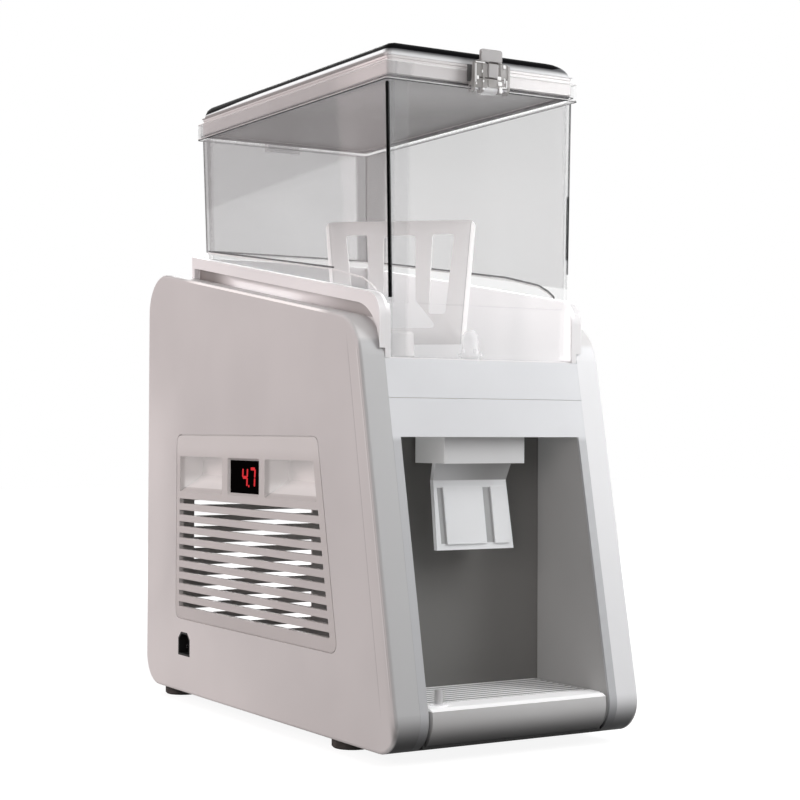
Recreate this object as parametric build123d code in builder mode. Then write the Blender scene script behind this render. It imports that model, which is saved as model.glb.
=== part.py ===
from build123d import *
import os
from math import cos, radians, sin, tan

os.makedirs("parts", exist_ok=True)

# Lengths are in millimetres and angles in degrees. X runs to the right, the front faces -Y and Z is up.
# Depths are measured backwards from the foremost point of the body.

# Body shell
body_width = 247.0
body_depth = 503.5
underside = 9.5
shell_wall = 2.5
cover_width = 23.5
front_lean = 11.4
top_slope = 9.22
low_front_round = 28.0
top_front_round = 45.0
top_rear_round = 38.0
low_rear_round = 30.0
cover_edge_round = 2.8
seam_gap = 0.3
clearance = 0.3
half_width = body_width / 2
half_depth = body_depth / 2
seam_x = half_width - cover_width
floor_top = underside + shell_wall

# Front panel, cup nook and its liner
panel_low = 299.5
panel_height = 33.1
shoulder_rise = 33.3
panel_high = panel_low + panel_height
shoulder_height = panel_high + shoulder_rise
nook_frame_side = 8.0
nook_half = seam_x - nook_frame_side
nook_frame_top = 32.9
nook_high = panel_low - nook_frame_top
nook_back = 107.4
nook_ceiling_rise = 1.4
nook_ceiling = nook_high + nook_ceiling_rise
liner_wall = 2.0

# Rear cover and base pan
pan_height = 40.0
pan_front_lip = 110.0
rear_slot_margin = 29.0
rear_slot_half = seam_x - rear_slot_margin
rear_slot_height = 4.9
rear_slot_pitch = 11.43
rear_slot_count = 14
rear_slot_low = 57.3

# Feet
foot_radius = 18.0
foot_inset = 25.5
foot_chamfer = 1.5
foot_x = half_width - foot_inset
front_foot_depth = 113.4
rear_foot_inset = 37.1
rear_foot_depth = body_depth - rear_foot_inset

# Tank bed, a well with a collar whose lip stands over the shell
bed_front = 59.0
bed_rear_inset = 67.5
bed_rear = body_depth - bed_rear_inset
bed_floor_rise = 0.9
bed_floor_top = panel_high + bed_floor_rise
bed_floor_thickness = 3.0
bed_wall = 3.5
bed_side_gap = 0.5
bed_return_margin = 5.7
bed_return_half = seam_x - bed_return_margin
bed_return_depth = 3.0
collar_rise = 21.5
collar_round = 22.0
lip_height = 11.0
lip_width = 5.5
lip_turn_depth = 95.0
lip_end_rise = 7.5
lip_low_end = bed_floor_top + lip_end_rise
lip_sagitta = 9.0

# Side grille panels, with the finger pockets and the display above the air slots
panel_top = 265.6
panel_rear_inset = 75.1
panel_front_inset = 87.6
panel_corner = 8.0
panel_gap = 1.2
panel_flange = 5.0
panel_flange_thickness = 2.0
panel_rear = body_depth - panel_rear_inset
pocket_depth = 25.0
pocket_wall = 2.0
pocket_drop = 20.6
pocket_height = 35.5
pocket_sill = 16.5
pocket_corner = 2.0
pocket_rear_margin = 7.6
pocket_front_margin = 11.4
rear_pocket_length = 97.5
pocket_high = panel_top - pocket_drop
pocket_low = pocket_high - pocket_height
pocket_bend = pocket_low + pocket_sill
rear_pocket_rear = panel_rear - pocket_rear_margin
rear_pocket_front = rear_pocket_rear - rear_pocket_length
front_pocket_inset = panel_front_inset + pocket_front_margin
display_length = 67.2
display_margin = 11.9
display_rise = 0.3
display_bevel = 2.3
display_frame_depth = 6.5
window_thickness = 1.5
window_seat = 1.5
display_corner = 2.6
display_rear = rear_pocket_front - display_margin
display_front = display_rear - display_length
display_low = pocket_low + display_rise
display_high = pocket_high + display_rise
front_pocket_margin = 11.0
front_pocket_rear = display_front - front_pocket_margin
slot_count = 10
slot_pitch = 11.45
slot_height = 4.9
slot_drop = 9.3
slot_rear_margin = 6.7
slot_front_margin = 10.3
panel_foot = 13.85
slot_low = pocket_low - slot_drop - slot_pitch * (slot_count - 1)
slot_rear = panel_rear - slot_rear_margin
slot_front_inset = panel_front_inset + slot_front_margin
panel_bottom = slot_low - panel_foot

# Power inlet
inlet_rear_inset = 80.9
inlet_length = 27.6
inlet_rear = body_depth - inlet_rear_inset
inlet_front = inlet_rear - inlet_length
inlet_low = 46.1
inlet_height = 23.2
inlet_high = inlet_low + inlet_height
inlet_corner = 6.5
inlet_depth = 20.0
inlet_wall = 1.8
inlet_flange = 3.0
blade_length = 12.0
blade_width = 2.0
blade_height = 4.0
blade_spread = 7.0
blade_drop = 3.0
fit_gap = 0.1

# Tank, which widens upwards
tank_wall = 3.0
tank_height = 236.2
tank_side_margin = 7.8
tank_front_margin = 3.7
tank_rear_margin = 16.0
tank_side_flare = 4.8
tank_front_lean = 0.5
tank_rear_flare = 10.5
tank_corner = 3.0
rim_side = 3.0
rim_ahead = 4.8
rim_behind = 6.2
rim_thickness = 3.0
upstand_wall = 2.0
upstand_height = 13.0
tank_bottom = bed_floor_top + clearance
tank_floor = tank_bottom + tank_wall
tank_top = tank_bottom + tank_height
tank_low_half = seam_x - tank_side_margin
tank_low_front = bed_front + tank_front_margin
tank_low_rear = bed_rear - tank_rear_margin
tank_high_half = tank_low_half + tank_side_flare
tank_high_front = tank_low_front + tank_front_lean
tank_high_rear = tank_low_rear + tank_rear_flare
rim_half = tank_high_half + rim_side
rim_front = tank_high_front - rim_ahead
rim_rear = tank_high_rear + rim_behind

# Outlet and valve, on one vertical line, and the nozzle behind them
valve_setback = 22.0
dome_radius = 7.3
dome_height = 23.2
dome_wall = 1.5
dome_flange_radius = 10.5
dome_flange_height = 2.6
port_height = 4.0
port_width = 3.0
spout_radius = 8.0
spout_bore = 5.0
spout_drop = 33.5
spout_hole_margin = 4.0
socket_wall = 2.6
socket_gap = 0.4
socket_overlap = 10.0
chamber_drop = 15.0
nozzle_setback = 11.5
nozzle_radius = 7.0
nozzle_bore = 5.0
nozzle_recess = 4.2
valve_depth = bed_front + valve_setback
nozzle_depth = valve_depth + nozzle_setback
dome_top = tank_floor + dome_height
spout_low = bed_floor_top - spout_drop
socket_top = spout_low + socket_overlap
chamber_top = spout_low - chamber_drop
plunger_radius = 2.5
plunger_head_radius = 4.0
plunger_seat_gap = 4.0
plunger_head_height = 7.0
plunger_head_low = chamber_top + plunger_seat_gap
plunger_top = plunger_head_low + plunger_head_height
plunger_tip_radius = 1.0
plunger_tip_height = 3.0

# Dispensing head and lever
head_half = 42.0
head_ahead = 9.0
head_rear_gap = 3.3
head_wall = 1.5
head_corner = 1.2
head_skirt = 12.2
lever_pivot_drop = 12.0
lever_pivot_ahead = 15.0
lever_pivot_depth = valve_depth - lever_pivot_ahead
lever_pivot_height = nook_ceiling - lever_pivot_drop
lever_pin_radius = 2.0
pin_fit = 0.03
running_fit = 0.08
lever_boss_radius = 4.6
lever_thickness = 5.0
neck_setback = 8.4
neck_length = 15.3
knee_setback = 6.0
paddle_length = 59.5
paddle_toe = 9.9
head_front = lever_pivot_depth - head_ahead
head_rear = nook_back - head_rear_gap
head_low = lever_pivot_height - head_skirt
nozzle_low = head_low + nozzle_recess
neck_depth = lever_pivot_depth + neck_setback
knee_depth = neck_depth + knee_setback
knee_height = head_low - neck_length
paddle_depth = knee_depth - paddle_toe
paddle_low = knee_height - paddle_length
neck_side_gap = 2.4
knee_narrowing = 1.6
paddle_flare = 1.8
neck_half = head_half - neck_side_gap
knee_half = neck_half - knee_narrowing
paddle_half = knee_half + paddle_flare
tongue_half = 4.0
tongue_thickness = 3.5
tongue_reach = 2.5
pad_rise = 2.0
pad_foot = 5.0
pad_head = 5.5
pad_low = paddle_low + pad_foot
pad_high = knee_height - pad_head
pad_edges = ((-29.7, 11.1), (19.9, 36.0))

# Stirrer
stirrer_depth = 200.4
stirrer_turn = -41.16
stirrer_height = 107.8
stirrer_leg_rise = 23.2
stirrer_top_half = 71.6
stirrer_leg_half = 61.8
stirrer_plate = 4.0
stirrer_corner = 6.0
stirrer_leg_low = tank_floor + stirrer_leg_rise
stirrer_top = stirrer_leg_low + stirrer_height
window_drop = 12.8
window_rise = 20.5
window_high = stirrer_top - window_drop
window_low = stirrer_leg_low + window_rise
window_high_edges = (31.0, 51.5)
window_low_edges = (27.7, 43.4)
window_corner = 3.0
arch_drop = 13.8
arch_knee_rise = 33.4
arch_low_rise = 7.6
arch_half = 15.3
arch_low_half = 36.0
arch_top = stirrer_top - arch_drop
arch_knee = stirrer_leg_low + arch_knee_rise
arch_low = stirrer_leg_low + arch_low_rise
hub_radius = 14.0
hub_height = 24.0
arm_height = 8.0
spindle_radius = 5.0
spindle_height = 23.0
spindle_flange_radius = 9.0
spindle_flange_height = 3.0

# Lid
lid_side_gap = 3.5
lid_front_gap = 2.6
lid_rear_gap = 3.0
lid_lift = 1.8
lid_band_height = 16.7
lid_top_height = 11.5
lid_wall = 2.5
lid_corner = 6.0
lid_top_round = 9.0
seal_width = 4.0
seal_inset = 1.0
lid_half = rim_half - lid_side_gap
lid_front = rim_front + lid_front_gap
lid_rear = rim_rear - lid_rear_gap
lid_low = tank_top + lid_lift
lid_band_top = lid_low + lid_band_height

# Lid hinge
hinge_setback = 4.3
hinge_drop = 2.5
hinge_half = 19.0
knuckle_half = 10.0
hinge_barrel_radius = 5.0
hinge_pin_radius = 2.0
hinge_leaf_thickness = 2.8
hinge_leaf_drop = 7.0
knuckle_bridge = 2.0
hinge_depth = rim_rear + hinge_setback
hinge_height = lid_band_top - hinge_drop
hinge_leaf_low = tank_top - hinge_leaf_drop
knuckle_low = hinge_height - knuckle_bridge
knuckle_high = hinge_height + knuckle_bridge

# Lid latch
latch_pin_ahead = 4.6
latch_pin_drop = 3.0
latch_pin_radius = 1.8
latch_half = 19.0
latch_plate_ahead = 5.8
latch_plate = 3.0
latch_boss_radius = 4.0
latch_post_half = 7.0
latch_hook_gap = 0.8
latch_hook_thickness = 2.7
latch_hook_reach = 1.8
latch_tab_half = 11.5
latch_tab_rise = 14.0
catch_half = 9.0
catch_ahead = 4.4
catch_drop = 3.5
catch_round = 1.5
latch_pin_depth = rim_front - latch_pin_ahead
latch_pin_height = tank_top - latch_pin_drop
latch_front = latch_pin_depth - latch_plate_ahead
latch_hook_low = lid_band_top + latch_hook_gap
latch_hook_depth = rim_front + latch_hook_reach
latch_tab_top = lid_band_top + latch_tab_rise
catch_front = rim_front - catch_ahead
catch_low = lid_band_top - catch_drop

# Drip tray, its grille and the float pin
bar_side_gap = 4.0
bar_half = nook_half - bar_side_gap
bar_depth = 12.0
bar_wall = 3.0
bar_chamfer_height = 2.2
bar_chamfer_depth = 4.5
tray_side_gap = 1.5
tray_half = nook_half - tray_side_gap
tray_top = 46.6
tray_floor = 2.0
tray_side = 4.0
tray_lip = 2.0
tray_rear_gap = 0.5
deck_width = 14.0
deck_rear = bar_depth + deck_width
grille_thickness = 3.3
grille_margin = 5.0
grille_slot = 4.6
grille_slot_count = 8
float_inset = 18.5
float_x = float_inset - tray_half
float_setback = 5.0
float_chamfer = 0.8
float_depth = bar_depth + float_setback
float_radius = 3.9
float_rise = 13.2
float_top = tray_top + float_rise
float_disc_radius = 8.0
float_disc_lift = 8.0
float_post_radius = 2.5
float_disc_height = 6.0
float_collar_radius = 7.75
float_collar_height = 1.4

# Cold unit inside the body
inner_corner = 4.0
plate_side_margin = 15.0
plate_half = seam_x - plate_side_margin
plate_front = 240.0
plate_rear_margin = 11.0
plate_rear = bed_rear - plate_rear_margin
plate_thickness = 3.5
tube_radius = 4.0
tube_margin = 11.0
tube_half = plate_half - tube_margin
tube_runs = 6
tube_contact = 0.05
tube_bend_gap = 0.5
foam_side_margin = 10.0
foam_half = seam_x - foam_side_margin
foam_front = 115.0
foam_thickness = 22.0
drive_radius = 22.0
drive_height = 42.0
drive_gap = 2.0
drive_round = 3.0
compressor_radius = 48.0
compressor_height = 126.0
compressor_round = 24.0
bracket_length = 130.0
bracket_width = 96.0
bracket_thickness = 3.0
bracket_foot_radius = 8.0
bracket_foot_height = 9.0
shroud_margin = 38.0
shroud_x = seam_x - shroud_margin
shroud_thickness = 18.0
shroud_rear_inset = 68.5
shroud_length = 130.0
shroud_rear = body_depth - shroud_rear_inset
shroud_front = shroud_rear - shroud_length
compressor_aside = 42.0
compressor_setback = 79.6
compressor_x = shroud_x - compressor_aside
compressor_depth = nook_back + compressor_setback
shroud_top = 172.0
shroud_bore = 54.0
condenser_thickness = 17.0
condenser_margin = 5.0
fin_count = 14
fin_groove = 2.0
fin_groove_depth = 4.0
fan_tip_gap = 5.0
fan_radius = shroud_bore - fan_tip_gap
fan_hub_radius = 13.0
fan_hub_length = 13.0
fan_hub_gap = 2.0
fan_root_sink = 2.0
fan_blade_thickness = 1.8
fan_blade_chord = 15.0
fan_blade_pitch = 35.0
fan_blade_count = 5
fan_shaft_radius = 3.0
fan_motor_radius = 17.0
fan_motor_length = 20.0
strut_width = 10.0
strut_thickness = 3.0
board_half = 60.0
board_low = 176.0
board_height = 80.0
board_high = board_low + board_height
board_thickness = 1.6
board_standoff = 5.0
board_post_radius = 3.0
board_post_inset = 6.0


def at_depth(depth):
    """Y of a point that lies so far behind the foremost point."""
    return depth - half_depth


def front_y(height):
    """Y of the leaning front face at a height."""
    toe = low_front_round * (1 - 1 / tan(radians((90 - front_lean) / 2)))
    return at_depth(toe) + tan(radians(front_lean)) * (height - underside)


def top_z(y):
    """Height of the sloping top of the shell at a place along Y."""
    return shoulder_height + tan(radians(top_slope)) * (y - front_y(shoulder_height))


def side_profile(x, inset=0.0):
    """Side outline of the body on the plane at x, drawn in by inset."""
    with BuildSketch(Plane.YZ.offset(x)) as profile:
        with BuildLine():
            FilletPolyline(
                (front_y(underside), underside),
                (front_y(shoulder_height), shoulder_height),
                (half_depth, top_z(half_depth)),
                (half_depth, underside),
                radius=[low_front_round, top_front_round, top_rear_round, low_rear_round],
                close=True,
            )
        make_face()
        if inset > 0:
            offset(amount=-inset)
    return profile.sketch


def side_outline(x, points, corner=0.0, grow=0.0):
    """A polygon of Y and Z points on the plane at x, with one corner radius, grown outwards by grow."""
    with BuildSketch(Plane.YZ.offset(x)) as outline:
        with BuildLine():
            FilletPolyline(*points, radius=corner, close=True)
        make_face()
        if grow != 0:
            offset(amount=grow)
    return outline.sketch


def side_box(x, front, rear, low, high, corner=0.0, grow=0.0):
    """An upright rectangle on the plane at x, between two depths and two heights."""
    points = [(at_depth(front), low), (at_depth(front), high), (at_depth(rear), high), (at_depth(rear), low)]
    return side_outline(x, points, corner, grow)


def side_circle(x, depth, height, radius):
    """A circle on the plane at x."""
    with BuildSketch(Plane.YZ.offset(x)) as circle:
        with Locations((at_depth(depth), height)):
            Circle(radius)
    return circle.sketch


def plan_box(z, half, front, rear, corner=0.0):
    """A level rectangle at height z, symmetric about X = 0, between two depths."""
    with BuildSketch(Plane.XY.offset(z)) as plan:
        with Locations((0, at_depth((front + rear) / 2))):
            if corner > 0:
                RectangleRounded(2 * half, rear - front, corner)
            else:
                Rectangle(2 * half, rear - front)
    return plan.sketch


def plan_circle(z, x, depth, radius):
    """A level circle at height z."""
    with BuildSketch(Plane.XY.offset(z)) as circle:
        with Locations((x, at_depth(depth))):
            Circle(radius)
    return circle.sketch


def mirrored(part):
    """The same part on the other side of the middle plane."""
    return mirror(part, about=Plane.YZ, mode=Mode.PRIVATE)


def save(part, name):
    """Label a finished piece and write it."""
    part.label = name
    export_step(part, f"parts/{name}.step")


def panel_outline(x, grow=0.0):
    """Outline of a side grille panel, whose front edge follows the leaning front."""
    points = [
        (front_y(panel_bottom) + panel_front_inset, panel_bottom),
        (front_y(panel_top) + panel_front_inset, panel_top),
        (at_depth(panel_rear), panel_top),
        (at_depth(panel_rear), panel_bottom),
    ]
    return side_outline(x, points, panel_corner, grow)


def inlet_outline(x, grow=0.0):
    """Outline of the power inlet, with its two upper corners cut off."""
    front = at_depth(inlet_front)
    rear = at_depth(inlet_rear)
    points = [
        (front, inlet_low),
        (front, inlet_high - inlet_corner),
        (front + inlet_corner, inlet_high),
        (rear - inlet_corner, inlet_high),
        (rear, inlet_high - inlet_corner),
        (rear, inlet_low),
    ]
    return side_outline(x, points, 0.0, grow)


def side_cover(with_inlet):
    """The right side cover, a shallow shell that is open towards the middle."""
    with BuildPart() as cover:
        extrude(side_profile(seam_x), amount=cover_width)
        fillet(cover.faces().sort_by(Axis.X)[-1].edges(), radius=cover_edge_round)
        extrude(side_profile(seam_x, shell_wall), amount=cover_width - shell_wall, mode=Mode.SUBTRACT)
        extrude(panel_outline(seam_x, panel_gap), amount=cover_width, mode=Mode.SUBTRACT)
        if with_inlet:
            extrude(inlet_outline(seam_x, fit_gap), amount=cover_width, mode=Mode.SUBTRACT)
    return cover.part


save(mirrored(side_cover(True)), "left_side_cover")
save(side_cover(False), "right_side_cover")


def pocket_points(front, low, high):
    """Corners of a finger pocket; front is its depth, or None where it follows the leaning front."""
    rear = rear_pocket_rear if front else front_pocket_rear
    low_front = at_depth(front) if front else front_y(low) + front_pocket_inset
    high_front = at_depth(front) if front else front_y(high) + front_pocket_inset
    return [(low_front, low), (high_front, high), (at_depth(rear), high), (at_depth(rear), low)]


def pocket_block(front, grow=0.0):
    """The hollow of a finger pocket, or with grow the block that its walls are cut from."""
    outline = side_outline(
        half_width, pocket_points(front, pocket_low, pocket_high), pocket_corner, grow
    )
    deep_x = half_width - pocket_depth - grow
    with BuildPart() as pocket:
        extrude(outline, amount=deep_x - half_width)
        with BuildSketch(Plane.XZ):
            with BuildLine():
                Polyline(
                    (half_width, pocket_low - grow),
                    (deep_x, pocket_bend - grow),
                    (deep_x, pocket_high + grow),
                    (half_width, pocket_high + grow),
                    close=True,
                )
            make_face()
        extrude(amount=half_depth, both=True, mode=Mode.INTERSECT)
    return pocket.part


def grille_panel(with_display):
    """The right grille panel: a flush plate with a flange behind it, air slots and two finger pockets."""
    plate_x = half_width - shell_wall
    flange_x = plate_x - panel_flange_thickness
    pockets = (rear_pocket_front, None)
    with BuildPart() as panel:
        extrude(panel_outline(plate_x), amount=shell_wall)
        extrude(panel_outline(flange_x, panel_flange), amount=panel_flange_thickness)
        for front in pockets:
            add(pocket_block(front, pocket_wall))
        for front in pockets:
            add(pocket_block(front), mode=Mode.SUBTRACT)
        for row in range(slot_count):
            low = slot_low + slot_pitch * row - slot_height / 2
            high = low + slot_height
            points = [
                (front_y(low) + slot_front_inset, low),
                (front_y(high) + slot_front_inset, high),
                (at_depth(slot_rear), high),
                (at_depth(slot_rear), low),
            ]
            extrude(side_outline(flange_x, points), amount=cover_width, mode=Mode.SUBTRACT)
        if with_display:
            opening = side_box(
                flange_x, display_front, display_rear, display_low, display_high, display_corner
            )
            extrude(opening, amount=cover_width, mode=Mode.SUBTRACT)
    return panel.part


save(mirrored(grille_panel(True)), "left_grille_panel")
save(grille_panel(False), "right_grille_panel")


def display_outline(x, grow):
    """The display's outline on the plane at x, grown or drawn in."""
    return side_box(x, display_front, display_rear, display_low, display_high, display_corner, grow)


window_x = half_width - display_bevel
with BuildPart() as display_frame:
    frame_x = half_width - display_frame_depth
    extrude(display_outline(frame_x, -fit_gap), amount=display_frame_depth)
    extrude(display_outline(window_x, -display_bevel), amount=display_bevel, taper=-40, mode=Mode.SUBTRACT)
    seat = display_outline(frame_x, window_seat - display_bevel)
    extrude(seat, amount=window_x - frame_x, mode=Mode.SUBTRACT)
save(mirrored(display_frame.part), "display_frame")

with BuildPart() as display_window:
    pane = display_outline(window_x - window_thickness, window_seat - display_bevel - fit_gap)
    extrude(pane, amount=window_thickness)
save(mirrored(display_window.part), "display_window")

socket_x = half_width - inlet_depth
with BuildPart() as inlet_socket:
    extrude(inlet_outline(socket_x), amount=inlet_depth)
    flange_x = half_width - shell_wall - panel_flange_thickness
    extrude(inlet_outline(flange_x, inlet_flange), amount=panel_flange_thickness)
    extrude(inlet_outline(socket_x + inlet_wall, -inlet_wall), amount=inlet_depth, mode=Mode.SUBTRACT)
save(mirrored(inlet_socket.part), "inlet_socket")

blade_y = at_depth((inlet_front + inlet_rear) / 2)
blade_z = (inlet_low + inlet_high) / 2
with BuildPart() as inlet_blades:
    with BuildSketch(Plane.YZ.offset(socket_x + inlet_wall)):
        places = [
            (blade_y - blade_spread, blade_z - blade_drop),
            (blade_y, blade_z + blade_drop),
            (blade_y + blade_spread, blade_z - blade_drop),
        ]
        with Locations(*places):
            Rectangle(blade_width, blade_height)
    extrude(amount=blade_length)
save(mirrored(inlet_blades.part), "inlet_blades")


def shell_band(half, points):
    """The stretch of the middle shell that lies within an outline of Y and Z points."""
    with BuildPart() as band:
        extrude(side_profile(0), amount=half, both=True)
        extrude(side_profile(0, shell_wall), amount=half, both=True, mode=Mode.SUBTRACT)
        extrude(side_outline(0, points), amount=half, both=True, mode=Mode.INTERSECT)
    return band.part


middle_half = seam_x - fit_gap
ahead = at_depth(-low_front_round)
behind = at_depth(body_depth + low_rear_round)
above = top_z(half_depth) + top_rear_round

base_points = [
    (ahead, 0),
    (ahead, floor_top),
    (at_depth(pan_front_lip), floor_top),
    (at_depth(pan_front_lip), pan_height),
    (behind, pan_height),
    (behind, 0),
]
save(shell_band(middle_half, base_points), "base_pan")

rear_points = [
    (at_depth(bed_rear + bed_side_gap), pan_height),
    (at_depth(bed_rear + bed_side_gap), above),
    (behind, above),
    (behind, pan_height),
]
with BuildPart() as rear_cover:
    add(shell_band(middle_half, rear_points))
    with BuildSketch(Plane.XZ.offset(-half_depth)):
        slot_middle = rear_slot_low + rear_slot_pitch * (rear_slot_count - 1) / 2
        with Locations((0, slot_middle)):
            with GridLocations(1, rear_slot_pitch, 1, rear_slot_count):
                Rectangle(2 * rear_slot_half, rear_slot_height)
    extrude(amount=2 * shell_wall, both=True, mode=Mode.SUBTRACT)
save(rear_cover.part, "rear_cover")

panel_points = [
    (ahead, panel_low),
    (ahead, panel_high),
    (at_depth(nook_back), panel_high),
    (at_depth(nook_back), panel_low),
]
save(shell_band(middle_half, panel_points), "front_panel")

surround_points = [
    (ahead, floor_top),
    (ahead, panel_low - seam_gap),
    (at_depth(nook_back), panel_low - seam_gap),
    (at_depth(nook_back), floor_top),
]
with BuildPart() as front_surround:
    add(shell_band(middle_half, surround_points))
    mouth = side_box(0, -low_front_round, nook_back, 0, nook_high)
    extrude(mouth, amount=nook_half, both=True, mode=Mode.SUBTRACT)
save(front_surround.part, "front_surround")

with BuildPart() as nook_liner:
    extrude(side_profile(0, shell_wall), amount=nook_half + liner_wall, both=True)
    hull = side_box(0, -low_front_round, nook_back + liner_wall, floor_top, nook_ceiling + liner_wall)
    extrude(hull, amount=nook_half + liner_wall, both=True, mode=Mode.INTERSECT)
    hollow = side_box(0, -low_front_round, nook_back, 0, nook_ceiling)
    extrude(hollow, amount=nook_half, both=True, mode=Mode.SUBTRACT)
    for depth, radius in ((valve_depth, plunger_radius), (nozzle_depth, nozzle_radius)):
        hole = plan_circle(nook_ceiling, 0, depth, radius + clearance)
        extrude(hole, amount=liner_wall, mode=Mode.SUBTRACT)
save(nook_liner.part, "nook_liner")

for side, x in (("left", -foot_x), ("right", foot_x)):
    for end, depth in (("front", front_foot_depth), ("rear", rear_foot_depth)):
        with BuildPart() as foot:
            extrude(plan_circle(0, x, depth, foot_radius), amount=underside)
            chamfer(foot.edges().group_by(Axis.Z)[0], length=foot_chamfer)
        save(foot.part, f"{end}_{side}_foot")

# The collar's wall rises from the well's floor; its lip stands out over the shell and tapers off in front.
bed_half = seam_x - bed_side_gap
bed_low = bed_floor_top - bed_floor_thickness
bed_step = bed_front + bed_return_depth
collar_front_top = top_z(at_depth(bed_front)) + collar_rise
collar_rear_top = top_z(at_depth(bed_rear)) + collar_rise


def collar_outline(x):
    """Side outline of the collar's wall on the plane at x."""
    with BuildSketch(Plane.YZ.offset(x)) as outline:
        with BuildLine():
            FilletPolyline(
                (at_depth(bed_step), bed_low),
                (at_depth(bed_step), panel_high + clearance),
                (at_depth(bed_front), panel_high + clearance),
                (at_depth(bed_front), collar_front_top),
                (at_depth(bed_rear), collar_rear_top),
                (at_depth(bed_rear), bed_low),
                radius=[0, 0, 0, collar_round, 0, 0],
                close=True,
            )
        make_face()
    return outline.sketch


def lip_outline(x):
    """Side outline of the collar's lip on the plane at x."""
    turn = (at_depth(lip_turn_depth), top_z(at_depth(lip_turn_depth)) + collar_rise - lip_height)
    end = (at_depth(bed_front), lip_low_end)
    chord = Vector(end[0] - turn[0], end[1] - turn[1])
    bulge = Vector(chord.Y, -chord.X).normalized() * lip_sagitta
    middle = ((turn[0] + end[0]) / 2 + bulge.X, (turn[1] + end[1]) / 2 + bulge.Y)
    with BuildSketch(Plane.YZ.offset(x)) as outline:
        with BuildLine():
            FilletPolyline(
                end,
                (at_depth(bed_front), collar_front_top),
                (at_depth(bed_rear), collar_rear_top),
                (at_depth(bed_rear), collar_rear_top - lip_height),
                turn,
                radius=[collar_round, 0, 0],
            )
            ThreePointArc(turn, middle, end)
        make_face()
    return outline.sketch


with BuildPart() as tank_bed:
    extrude(collar_outline(0), amount=bed_half, both=True)
    extrude(lip_outline(0), amount=bed_half + lip_width, both=True)
    well = plan_box(bed_floor_top, bed_half - bed_wall, bed_step, bed_rear - 2 * bed_wall)
    extrude(well, amount=above, mode=Mode.SUBTRACT)
    mouth = plan_box(panel_high, bed_return_half, 0, bed_step)
    extrude(mouth, amount=above, mode=Mode.SUBTRACT)
    spout_hole = plan_circle(bed_low, 0, valve_depth, spout_radius + spout_hole_margin)
    extrude(spout_hole, amount=bed_floor_thickness, mode=Mode.SUBTRACT)
save(tank_bed.part, "tank_bed")

tank_slope = 1 / (tank_top - tank_bottom)


def tank_section(z, inset):
    """The tank's plan at height z, drawn in by inset; it widens slightly upwards."""
    share = (z - tank_bottom) * tank_slope
    half = tank_low_half + (tank_high_half - tank_low_half) * share
    front = tank_low_front + (tank_high_front - tank_low_front) * share
    rear = tank_low_rear + (tank_high_rear - tank_low_rear) * share
    return plan_box(z, half - inset, front + inset, rear - inset, tank_corner)


with BuildPart() as tank:
    loft([tank_section(tank_bottom, 0), tank_section(tank_top, 0)])
    rim = plan_box(tank_top - rim_thickness, rim_half, rim_front, rim_rear, tank_corner)
    extrude(rim, amount=rim_thickness + upstand_height)
    upstand_hollow = plan_box(
        tank_top, rim_half - upstand_wall, rim_front + upstand_wall, rim_rear - upstand_wall, tank_corner
    )
    extrude(upstand_hollow, amount=upstand_height, mode=Mode.SUBTRACT)
    loft([tank_section(tank_floor, tank_wall), tank_section(tank_top, tank_wall)], mode=Mode.SUBTRACT)
    spout_mouth = plan_circle(tank_bottom, 0, valve_depth, spout_radius + pin_fit)
    extrude(spout_mouth, amount=tank_wall, mode=Mode.SUBTRACT)
save(tank.part, "tank")

with BuildPart() as outlet_spout:
    extrude(plan_circle(spout_low, 0, valve_depth, spout_radius), amount=tank_floor - spout_low)
    spout_hollow = plan_circle(spout_low, 0, valve_depth, spout_bore)
    extrude(spout_hollow, amount=tank_floor - spout_low, mode=Mode.SUBTRACT)
save(outlet_spout.part, "outlet_spout")

dome_plane = Plane.XZ.offset(-at_depth(valve_depth))
dome_axis = Axis((0, at_depth(valve_depth), 0), (0, 0, 1))
with BuildPart() as outlet_dome:
    with BuildSketch(dome_plane):
        with BuildLine():
            Polyline(
                (spout_bore, tank_floor),
                (dome_flange_radius, tank_floor),
                (dome_flange_radius, tank_floor + dome_flange_height),
                (dome_radius, tank_floor + dome_flange_height),
                (dome_radius, dome_top - dome_radius),
            )
            RadiusArc((dome_radius, dome_top - dome_radius), (0, dome_top), -dome_radius)
            Line((0, dome_top), (0, dome_top - dome_wall))
            inner_radius = dome_radius - dome_wall
            RadiusArc((0, dome_top - dome_wall), (inner_radius, dome_top - dome_radius), inner_radius)
            Polyline(
                (inner_radius, dome_top - dome_radius),
                (inner_radius, tank_floor + dome_flange_height),
                (spout_bore, tank_floor + dome_flange_height),
                (spout_bore, tank_floor),
            )
        make_face()
    revolve(axis=dome_axis)
    for turn in (0, 90):
        with BuildSketch(Plane.XY.offset(tank_floor + dome_flange_height)):
            with Locations((0, at_depth(valve_depth))):
                Rectangle(2 * dome_flange_radius, port_width, rotation=turn)
        extrude(amount=port_height, mode=Mode.SUBTRACT)
save(outlet_dome.part, "outlet_dome")

with BuildPart() as stirrer_spindle:
    extrude(plan_circle(tank_floor, 0, stirrer_depth, spindle_flange_radius), amount=spindle_flange_height)
    extrude(plan_circle(tank_floor, 0, stirrer_depth, spindle_radius), amount=spindle_height)
save(stirrer_spindle.part, "stirrer_spindle")

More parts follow.
